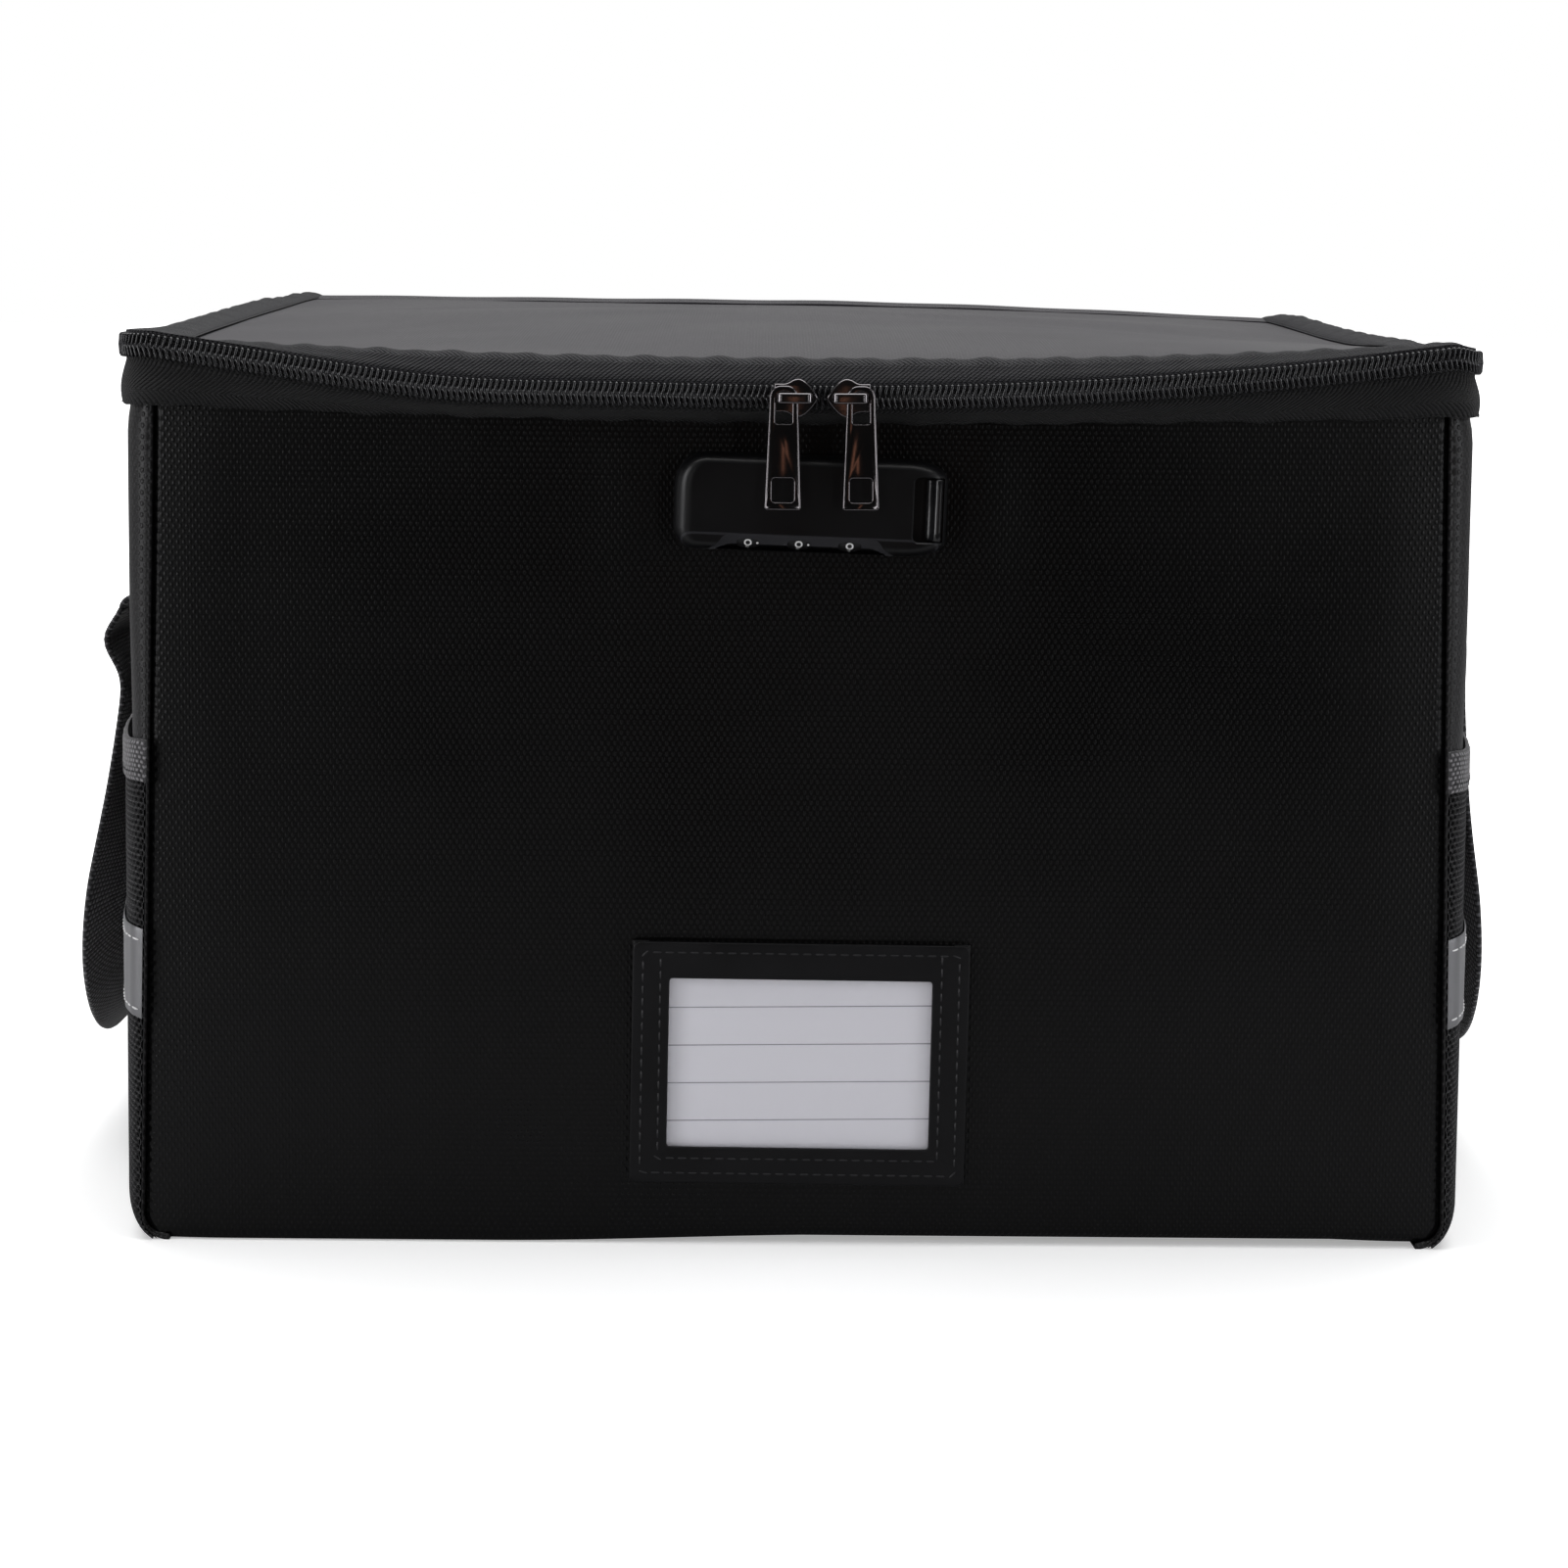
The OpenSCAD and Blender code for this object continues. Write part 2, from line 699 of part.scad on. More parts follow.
module lock_housing() {
  color([0.055, 0.055, 0.06])
    at_lock()
      difference() {
        union() {
          upright(lock_t - 1.5)
            round_rect(lock_w, lock_h, lock_r);
          upright(lock_t)
            round_rect(lock_w - 2.4, lock_h - 2.4, lock_r - 1.2);
        }
        // sloping bay for the wheels in the lower front edge
        translate([wheel_x0 - bay_w / 2, -lock_t, -lock_h / 2])
          rotate([90, 0, 90])
            linear_extrude(bay_w)
              polygon([[-1, -1], [bay_c, -1], [bay_c, 0], [0, bay_c], [-1, bay_c]]);
        for (i = [-1:1])
          translate([wheel_x0 + i * wheel_pitch, 0, 0])
            rod(wheel_r + wheel_gap, -wheel_w / 2 - wheel_gap, wheel_w / 2 + wheel_gap, wheel_y, wheel_z);
        rod(axle_r + 0.02, axle_x0 - ply, axle_x1 + ply, wheel_y, wheel_z);
        // recess of the release button, with a slot for its stem
        box([recess_x - recess_w / 2, -lock_t - 1, recess_z - recess_h / 2],
          [recess_x + recess_w / 2, -lock_t + recess_d, recess_z + recess_h / 2]);
        // channel of the latch bar and its spring, open to the back
        box([bar_x0 - spring_l - button_travel - ply, bar_y - bar_t - ply, bar_z - bar_h / 2 - ply],
          [bar_x1 + ply, 1, bar_z + bar_h / 2 + ply]);
        box([bar_x1 - stem_w - button_travel - ply, -lock_t + recess_d - 1, bar_z - bar_h / 2 - ply],
          [bar_x1 + ply, 1, bar_z + bar_h / 2 + ply]);
        // slots in the top edge that take the pulls' tips
        for (s = [-1, 1])
          box([s * pull_slot_x - pull_tip_w / 2 - ply, bar_y - bar_t - ply, bar_z],
            [s * pull_slot_x + pull_tip_w / 2 + ply, bar_y + hook_t + ply, lock_h]);
        for (s = [-1, 1])
          translate([s * screw_x, eps, -lock_h / 2 + boss_r + 1.5])
            rotate([90, 0, 0])
              cylinder(r = screw_r + 0.02, h = screw_in + ply);
      }
}

module lock_axle() {
  color([0.6, 0.6, 0.62])
    at_lock()
      rod(axle_r, axle_x0, axle_x1, wheel_y, wheel_z);
}

module dial(i) {
  color([0.06, 0.06, 0.065])
    at_lock()
      translate([wheel_x0 + i * wheel_pitch, 0, 0])
        difference() {
          rod(wheel_r, -wheel_w / 2, wheel_w / 2, wheel_y, wheel_z);
          rod(axle_r + axle_gap, -wheel_w, wheel_w, wheel_y, wheel_z);
        }
}

module dial_left() {
  dial(-1);
}

module dial_middle() {
  dial(0);
}

module dial_right() {
  dial(1);
}

module release_button() {
  color([0.1, 0.1, 0.11])
    at_lock() {
      box([button_x - button_w / 2, -lock_t - 0.6, recess_z - recess_h / 2 + wheel_gap],
        [button_x + button_w / 2, -lock_t + recess_d - ply, recess_z + recess_h / 2 - wheel_gap]);
      box([bar_x1 - stem_w, -lock_t + recess_d - ply - eps, bar_z - bar_h / 2],
        [bar_x1, bar_y - bar_t - ply, bar_z + bar_h / 2]);
    }
}

module latch_bar() {
  top = bar_z + bar_h / 2 + hook_h;
  color([0.62, 0.62, 0.64])
    at_lock()
      union() {
        box([bar_x0, bar_y - bar_t, bar_z - bar_h / 2], [bar_x1, bar_y, bar_z + bar_h / 2]);
        for (s = [-1, 1])
          translate([s * pull_slot_x, bar_y, 0]) {
            box([-hook_w / 2, -eps, bar_z], [hook_w / 2, hook_t, top]);
            box([-hook_w / 2, -hook_nose, top - hook_nose], [hook_w / 2, hook_t, top]);
          }
      }
}

spring_x = bar_x0 - spring_l - button_travel;
spring_y = bar_y;
module lock_spring() {
  color([0.62, 0.62, 0.64])
    at_lock()
      difference() {
        rod(bar_t, spring_x, bar_x0 - ply, spring_y, bar_z);
        rod(bar_t - 0.5, spring_x - 1, bar_x0 + 1, spring_y, bar_z);
      }
}

// Plate behind the lining, and the two screws that clamp it to the housing
plate_t = 1.5;
plate_h = lock_h * 0.75;
inside_y = wall_t + ply - half_d - front_bow * front_rise(lock_z - plate_h / 2) - lock_back_y;
screw_z = -lock_h / 2 + boss_r + 1.5;
head_r = 2.8;
head_t = 1.6;
module lock_back_plate() {
  color([0.55, 0.55, 0.57])
    at_lock()
      translate([0, inside_y + plate_t, 0])
        difference() {
          upright(plate_t)
            round_rect(lock_w * 0.8, plate_h, 4);
          for (s = [-1, 1])
            translate([s * screw_x, 1, screw_z])
              rotate([90, 0, 0])
                cylinder(r = screw_hole_r, h = plate_t + 2);
        }
}

module lock_screws() {
  color([0.6, 0.6, 0.62])
    at_lock()
      for (s = [-1, 1])
        translate([s * screw_x, inside_y + plate_t, screw_z]) {
          rotate([90, 0, 0])
            cylinder(r = screw_r, h = inside_y + plate_t + screw_in);
          rotate([-90, 0, 0])
            cylinder(r = head_r, h = head_t);
        }
}

module lock_screw_holes() {
  at_lock()
    for (s = [-1, 1])
      translate([s * screw_x, inside_y + 1, screw_z])
        rotate([90, 0, 0])
          cylinder(r = screw_hole_r, h = inside_y + 4, $fn = 24);
}

// ---- label holder ----
frame_t = 1.4;
film_t = 0.3;
card_gap = 0.3;
channel_t = card_t + film_t + 2 * card_gap + 0.1;
label_y = -half_d - ply;
channel_w = card_w + 2 * card_gap;
foot_h = (label_h - window_h) / 2 - 2;
module at_label(y) {
  translate([label_x, label_y - y, label_z])
    children();
}

module label_frame() {
  color([0.085, 0.085, 0.09])
    at_label(0) {
      translate([0, -channel_t, 0])
        upright(frame_t)
          difference() {
            translate([0, label_h / 2])
              round_rect(label_w, label_h, 2);
            translate([-window_w / 2, (label_h - window_h) / 2])
              square([window_w, window_h]);
          }
      upright(channel_t)
        difference() {
          translate([0, label_h / 2])
            round_rect(label_w, label_h, 2);
          translate([-channel_w / 2, foot_h])
            square([channel_w, label_h]);
        }
    }
}

module label_window() {
  color([0.8, 0.82, 0.85, 0.35])
    at_label(channel_t - film_t)
      upright(film_t - eps)
        translate([-window_w / 2 - 3, (label_h - window_h) / 2 - 1.5])
          square([window_w + 6, window_h + 3]);
}

module label_card() {
  color([0.86, 0.86, 0.88])
    at_label(card_gap)
      upright(card_t)
        translate([-card_w / 2, foot_h + card_gap])
          square([card_w, card_h]);
}

// ---- side pockets ----
function pocket_open(a, z) = pocket_gape * cos(a) * cos(a) * (1 - pow(1 - min(1, max(0, z / pocket_z)), 2));
pocket_face = function(k, a)
  let (p = side_face(k, a), n = surface_normal(side_face, k, a, 0.002, 0.2))
  p + n * (ply + mesh_t + pocket_open(a, p[2]));

pocket_angles = concat([-86], steps(-75, 75, 10), [86]);
module pocket_sheet(top, under, ks) {
  sheet(pocket_face, ks, pocket_angles, top, under, 0.002, 0.2);
}

mesh_ks = [for (z = steps(pocket_z - binding_h - ply, gusset_r + 6, 4)) seam_k(z)];
module mesh_pocket() {
  color([0.13, 0.13, 0.135])
    pocket_sheet(0, mesh_t, concat(mesh_ks, [1, 1.3, 1.6, 1.85]));
}

module left_mesh_pocket() {
  mirror([1, 0, 0])
    mesh_pocket();
}

module right_mesh_pocket() {
  mesh_pocket();
}

bind_t = 0.6;
module pocket_binding() {
  color([0.3, 0.3, 0.31])
    pocket_sheet(-bind_t, mesh_t, [seam_k(pocket_z), seam_k(pocket_z - binding_h)]);
}

module left_pocket_binding() {
  mirror([1, 0, 0])
    pocket_binding();
}

module right_pocket_binding() {
  pocket_binding();
}

strip_t = 0.4;
module reflective_strip() {
  color([0.5, 0.5, 0.52])
    pocket_sheet(-ply - strip_t, -ply, [for (z = steps(strip_z + strip_h, strip_z, 2)) seam_k(z)]);
}

module left_reflective_strip() {
  mirror([1, 0, 0])
    reflective_strip();
}

module right_reflective_strip() {
  reflective_strip();
}

// ---- handles, drawn on the right ----
end_y = handle_span / 2;
anchor_x = body_w / 2 + ply;
leg_x = body_w / 2 + mesh_t + pocket_gape + bind_t + web_t / 2 + 4 * ply;
fold_gap = (leg_x - anchor_x - web_t / 2) / 2;
fold_x = leg_x - fold_gap;

// Ring of a flat strap: centre, direction across its width, direction through its thickness
function strap_ring(c, across, through, w = web_w, t = web_t) =
  [c - across * w / 2 - through * t / 2, c + across * w / 2 - through * t / 2,
    c + across * w / 2 + through * t / 2, c - across * w / 2 + through * t / 2];

// Sewn ends: flat on the side panel, and up to the fold
anchor_l = 50;
module handle_anchors() {
  color([0.12, 0.12, 0.125])
    for (s = [-1, 1])
      translate([anchor_x, s * end_y - web_w / 2, fold_z - anchor_l])
        cube([web_t, web_w, anchor_l - ply]);
}

module left_handle_anchors() {
  mirror([1, 0, 0])
    handle_anchors();
}

module right_handle_anchors() {
  handle_anchors();
}

// Folds: the strap turns over from the sewn end to the hanging loop
module handle_folds() {
  color([0.12, 0.12, 0.125])
    for (s = [-1, 1])
      translate([fold_x, s * end_y + web_w / 2, fold_z])
        rotate([90, 0, 0])
          linear_extrude(web_w)
            difference() {
              circle(fold_gap + web_t / 2);
              circle(fold_gap - web_t / 2);
              translate([-2 * fold_gap, -4 * fold_gap])
                square(4 * fold_gap);
            }
}

module left_handle_folds() {
  mirror([1, 0, 0])
    handle_folds();
}

module right_handle_folds() {
  handle_folds();
}

// Loop: down one leg, round the bottom and up the other, q from -1 to 1. Its inner edge stays near the
// pocket while the strap twists from flat at the folds to turn degrees at the bottom.
turn_drop = end_y * 0.8;
leg_inset = 2 * ply;
bottom_tuck = 2.4;
function ease(t) = let (c = min(1, max(0, t))) c * c * (3 - 2 * c);
function off_fold(q) = ease((1 - abs(q)) / 0.67);
function near_bottom(q) = ease(1 - abs(q) / 0.7);
function loop_twist(q, splay, turn) = splay * off_fold(q) + (turn - splay) * near_bottom(q);
function loop_centre(q, splay, turn) =
  let (part = min(1, abs(q) * 2), leg = max(0, abs(q) * 2 - 1),
    low = handle_low_z + web_w / 2 * cos(turn) + web_t, high = fold_z - ply)
  [leg_x - leg_inset * off_fold(q) + web_w / 2 * sin(loop_twist(q, splay, turn)) - bottom_tuck * near_bottom(q),
    sign(q) * end_y * sin(90 * part),
    lerp(low + turn_drop * (1 - cos(90 * part)), high, leg)];

function loop_ring(q, splay, turn) =
  let (h = 0.01, chord = loop_centre(q + h, splay, turn) - loop_centre(q - h, splay, turn),
    along = chord / norm(chord), inward = cross([1, 0, 0], along), in_dir = inward / norm(inward),
    out_dir = cross(in_dir, along), t = loop_twist(q, splay, turn),
    across = -out_dir * sin(t) - in_dir * cos(t))
  strap_ring(loop_centre(q, splay, turn), across, cross(along, across));

module handle_loop(splay, turn) {
  color([0.12, 0.12, 0.125])
    sweep([for (q = steps(-1, 1, 56)) loop_ring(q, splay, turn)]);
}

module left_handle_loop() {
  mirror([1, 0, 0])
    handle_loop(left_splay, left_turn);
}

module right_handle_loop() {
  handle_loop(right_splay, right_turn);
}

front_panel();
back_panel();
left_side_panel();
right_side_panel();
bottom_panel();
front_board();
back_board();
left_board();
right_board();
bottom_board();
front_lining();
back_lining();
left_lining();
right_lining();
bottom_lining();
lower_zip_tape();
lower_zip_coil();
zip_end_tabs();
lid_panel();
lid_board();
lid_lining();
upper_zip_tape();
upper_zip_coil();
hinge_strip();
left_slider();
right_slider();
left_pull();
right_pull();
lock_housing();
lock_back_plate();
lock_screws();
lock_axle();
lock_spring();
dial_left();
dial_middle();
dial_right();
release_button();
latch_bar();
label_frame();
label_window();
label_card();
left_mesh_pocket();
right_mesh_pocket();
left_pocket_binding();
right_pocket_binding();
left_reflective_strip();
right_reflective_strip();
left_handle_anchors();
right_handle_anchors();
left_handle_folds();
right_handle_folds();
left_handle_loop();
right_handle_loop();
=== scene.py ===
import bpy
import bmesh
import math
import random
import numpy as np
from mathutils import Matrix, Vector
from mathutils.geometry import tessellate_polygon


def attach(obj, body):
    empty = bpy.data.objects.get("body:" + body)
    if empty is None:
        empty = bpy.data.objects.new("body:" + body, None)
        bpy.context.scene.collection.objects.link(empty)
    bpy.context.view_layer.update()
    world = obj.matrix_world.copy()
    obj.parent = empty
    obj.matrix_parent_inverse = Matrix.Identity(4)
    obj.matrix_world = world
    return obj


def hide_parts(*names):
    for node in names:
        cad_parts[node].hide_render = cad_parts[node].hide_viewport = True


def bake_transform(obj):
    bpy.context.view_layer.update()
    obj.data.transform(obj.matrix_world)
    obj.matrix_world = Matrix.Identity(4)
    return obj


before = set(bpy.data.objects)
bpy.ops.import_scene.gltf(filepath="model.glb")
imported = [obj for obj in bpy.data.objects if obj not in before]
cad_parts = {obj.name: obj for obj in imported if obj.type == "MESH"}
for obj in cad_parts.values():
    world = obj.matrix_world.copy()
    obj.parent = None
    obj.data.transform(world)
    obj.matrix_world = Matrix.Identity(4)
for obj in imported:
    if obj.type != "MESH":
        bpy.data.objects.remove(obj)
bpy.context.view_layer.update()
mm = 0.001
rad = math.radians
sidePairs = (("left", False), ("right", True))

# sizes in millimetres, as in the part's source
body = {"w": 409, "d": 320, "bottomW": 389.6, "topW": 378.6, "seamZ": 250, "cornerR": 8, "gussetR": 18, "bow": 3,
        "seamSag": 3.7, "skin": 1.2, "board": 3, "lining": 0.8, "ply": 0.3, "lap": 4}
zipRun = {"z": 266.8, "sag": 12.8, "bow": 12, "proud": 1.8, "coilW": 8, "slit": 1.2, "endA": 78, "pitch": 1.72}
lid = {"frontZ": 272.6, "rearZ": 281, "dip": 8.6, "bow": 9, "band": 6}
halfD = body["d"] / 2
halfW = 189
floorHalf = body["bottomW"] / 2 - body["cornerR"]
liningIn = body["skin"] + body["board"] + 2 * body["ply"]


# ---- camera ----
def addCamera():
    pitch, roll, yaw = rad(5.99), rad(0.60), rad(0.50)
    fwd = Vector((math.sin(yaw) * math.cos(pitch), math.cos(yaw) * math.cos(pitch), -math.sin(pitch)))
    right = Vector((math.cos(yaw), -math.sin(yaw), 0))
    up = right.cross(fwd)
    r = right * math.cos(roll) + up * math.sin(roll)
    u = up * math.cos(roll) - right * math.sin(roll)
    camera = bpy.data.objects.new("camera", bpy.data.cameras.new("camera"))
    place = (-0.0126, -1.0623, 0.2809)
    camera.matrix_world = Matrix([(r[i], u[i], -fwd[i], place[i]) for i in range(3)] + [(0, 0, 0, 1)])
    camera.data.lens = 70.9
    camera.data.sensor_width = 36
    camera.data.shift_y = -0.10
    camera.data.clip_end = 50
    bpy.context.scene.collection.objects.link(camera)
    bpy.context.scene.camera = camera


addCamera()
print("camera")


# ---- materials ----
class Value:
    # a node's output that can stand in a sum
    def __init__(self, nodes, socket):
        self.nodes, self.socket = nodes, socket

    def __add__(self, other):
        return self.nodes.math("ADD", self, other)

    def __sub__(self, other):
        return self.nodes.math("SUBTRACT", self, other)

    def __mul__(self, other):
        return self.nodes.math("MULTIPLY", self, other)

    def __truediv__(self, other):
        return self.nodes.math("DIVIDE", self, other)

    def __abs__(self):
        return self.nodes.math("ABSOLUTE", self)


class Nodes:
    def __init__(self, tree):
        self.tree = tree

    def plug(self, socket, value):
        if isinstance(value, Value):
            self.tree.links.new(value.socket, socket)
        elif isinstance(value, tuple):
            socket.default_value = (*value, 1)
        elif value is not None:
            socket.default_value = value

    def node(self, kind, out=0, setting=None, **inputs):
        n = self.tree.nodes.new("ShaderNode" + kind)
        if setting:
            setattr(n, *setting)
        for key, value in inputs.items():
            self.plug(n.inputs[key.replace("_", " ")], value)
        return Value(self, n.outputs[out])

    def numbered(self, kind, setting, out, inputs):
        # for nodes whose inputs share a name
        n = self.tree.nodes.new("ShaderNode" + kind)
        setattr(n, *setting)
        for i, value in inputs:
            self.plug(n.inputs[i], value)
        return Value(self, n.outputs[out])

    def math(self, op, *values):
        return self.numbered("Math", ("operation", op), 0, enumerate(values))

    def mix(self, fac, a, b):
        return self.numbered("Mix", ("data_type", "RGBA"), 2, ((0, fac), (6, a), (7, b)))

    def split(self, vector):
        n = self.tree.nodes.new("ShaderNodeSeparateXYZ")
        self.plug(n.inputs[0], vector)
        return [Value(self, out) for out in n.outputs]

    def uv(self):
        return self.split(self.node("UVMap", 0, ("uv_map", "cloth")))[:2]

    def place(self):
        return self.node("TexCoord", "Object")

    def noise(self, scale, detail=3.0):
        return self.node("TexNoise", "Fac", Vector=self.place(), Scale=scale, Detail=detail, Roughness=0.5)

    def cells(self, scale):
        return self.node("TexVoronoi", "Distance", Vector=self.place(), Scale=scale)

    def ramp(self, fac, low, high, a=0.0, b=1.0):
        return self.node("MapRange", 0, ("interpolation_type", "SMOOTHSTEP"), Value=fac, From_Min=low, From_Max=high,
                         To_Min=a, To_Max=b)

    def bump(self, height, distance, strength=1.0, after=None):
        return self.node("Bump", Height=height, Distance=distance, Strength=strength, Normal=after)

    def fromMiddle(self, value):
        return self.math("FRACT", value) - 0.5

    def offsetRows(self, across, along):
        # places in cells of a given size, every second row shifted by half a cell
        u, v = self.uv()
        row = v / along
        col = u / across + self.math("MODULO", self.math("FLOOR", row), 2.0) * 0.5
        return self.fromMiddle(col), self.fromMiddle(row)


class Shader(Nodes):
    def __init__(self, name, color, rough=0.5, spec=0.3, metallic=0.0):
        self.mat = bpy.data.materials.new(name)
        self.mat.use_nodes = True
        self.mat.diffuse_color = (*color, 1)
        super().__init__(self.mat.node_tree)
        self.to(Base_Color=color, Roughness=rough, Specular_IOR_Level=spec, Metallic=metallic)

    def to(self, **inputs):
        for key, value in inputs.items():
            self.plug(self.tree.nodes["Principled BSDF"].inputs[key.replace("_", " ")], value)
        return self.mat

    def varied(self, fac, low, high):
        return self.ramp(fac, 0.3, 0.7, low, high)


def coatedCloth(name, dark, light, rough, spec, grain):
    # staggered tall ovals, one every 1.9 mm across, in rows 1.57 mm apart
    s = Shader(name, dark, rough, spec)
    du, dv = s.offsetRows(1.9, 1.57)
    dimple = s.ramp(s.math("SQRT", du * du * 3.2 + dv * dv * 0.8), 0.5, 0.12)
    soft = s.noise(9)
    return s.to(Base_Color=s.mix(soft * 0.3 + dimple * 0.7, dark, light),
                Roughness=s.varied(soft, rough - 0.05, rough + 0.06),
                Normal=s.bump(dimple + s.noise(1400, 2) * 0.2, grain))


def wovenRibs(name, dark, light, rough, across, along, depth, sheen):
    # rows of small floats across a strap, offset from row to row
    s = Shader(name, dark, rough, 0.25)
    du, dv = s.offsetRows(across, along)
    high = s.math("POWER", s.ramp(abs(du), 0.5, 0.1) * s.ramp(abs(dv), 0.5, 0.1), 1.5)
    fibre = s.noise(2200, 2)
    # raised floats take the lighter colour; on the black webbing that light colour is a painted highlight standing in
    # for the glints on its floats
    return s.to(Base_Color=s.mix(high * 0.75 + fibre * 0.25, dark, light), Normal=s.bump(high + fibre * 0.3, depth),
                Sheen_Weight=sheen, Sheen_Roughness=0.4)


def herringbone(name, dark, light, band):
    # slanting ribs 1.5 mm apart that turn back every band
    s = Shader(name, dark, 0.62, 0.25)
    u, v = s.uv()
    turn = s.math("PINGPONG", v + band / 2, band)
    rib = s.ramp(abs(s.fromMiddle((u + turn * 1.05) / 1.5)), 0.5, 0.12)
    yarn = s.ramp(abs(s.fromMiddle(v / 0.55)), 0.5, 0.1)
    high = rib * (yarn * 0.4 + 0.6)
    fibre = s.noise(2400, 2)
    return s.to(Base_Color=s.mix(high * 0.7 + fibre * 0.3, dark, light), Normal=s.bump(high + fibre * 0.25, 0.00055),
                Sheen_Weight=0.05)


def plastic(name, dark, light, rough, spec, grain, depth, lipHighlight=None):
    s = Shader(name, dark, rough, spec)
    soft = s.noise(30, 2)
    tone = s.mix(soft, dark, light)
    if lipHighlight:
        # painted highlight: the sloping lip round the wheels' bay is painted lighter; in the lock's own frame, y + z
        # is -22 mm there
        x, y, z = s.split(s.place())
        tilt = rad(lock["tilt"])
        lip = mm * (-22 + lock["y"] + lock["z"] * math.cos(tilt) + lock["x"] * math.sin(tilt))
        off = y + z * math.cos(tilt) + x * math.sin(tilt) - lip
        tone = s.mix(s.ramp(abs(off), 0.0005, 0.0002), tone, lipHighlight)
    return s.to(Base_Color=tone, Roughness=s.varied(soft, rough - 0.04, rough + 0.06),
                Normal=s.bump(s.noise(grain), depth, 0.6))


def metal(name, color, rough, depth=0.00001, crown=0.0):
    s = Shader(name, color, rough, 0.5, 1.0)
    normal = s.bump(s.noise(900), depth, 0.5)
    if crown:
        u = s.uv()[0]
        normal = s.bump(u * u * -crown, 0.001, 1.0, normal)
    return s.to(Roughness=s.varied(s.noise(120), rough * 0.7, rough * 1.4), Normal=normal)


def leatherCloth(name):
    s = Shader(name, (0.0045, 0.0045, 0.0052), 0.42, 0.24)
    soft = s.noise(60)
    return s.to(Base_Color=s.mix(soft, (0.002, 0.002, 0.0024), (0.005, 0.005, 0.006)), Roughness=s.varied(soft, 0.42, 0.54),
                Normal=s.bump(s.cells(1500.0), 0.00004, 0.5))


def thread(name, color, light):
    s = Shader(name, color, 0.5, 0.4)
    n = s.noise(3000, 2)
    return s.to(Base_Color=s.mix(n, color, light), Normal=s.bump(n, 0.00005))


def reflectiveTape():
    s = Shader("reflectiveTape", (0.16, 0.16, 0.165), 0.35, 0.6, 0.35)
    soft = s.noise(45)
    return s.to(Base_Color=s.mix(soft, (0.135, 0.135, 0.14), (0.19, 0.19, 0.198)), Roughness=s.varied(soft, 0.3, 0.42),
                Normal=s.bump(s.cells(5200.0), 0.00003, 0.6))


def ruledCard():
    s = Shader("ruledCard", (0.7, 0.7, 0.74), 0.6, 0.3)
    lineGap = 11.45
    line = s.ramp(abs(s.fromMiddle(s.uv()[1] / lineGap)), 0.022, 0.010)
    n = s.noise(900)
    paper = s.mix(n, (0.68, 0.67, 0.73), (0.75, 0.74, 0.80))
    return s.to(Base_Color=s.mix(line, paper, (0.2, 0.2, 0.23)), Normal=s.bump(n, 0.00003, 0.4))


def clearFilm():
    s = Shader("clearFilm", (0.9, 0.9, 0.92), 0.12, 0.5)
    ripple = s.noise(32)
    return s.to(Alpha=0.12, Roughness=s.ramp(ripple, 0.35, 0.65, 0.06, 0.3), Normal=s.bump(ripple, 0.0006, 0.4))
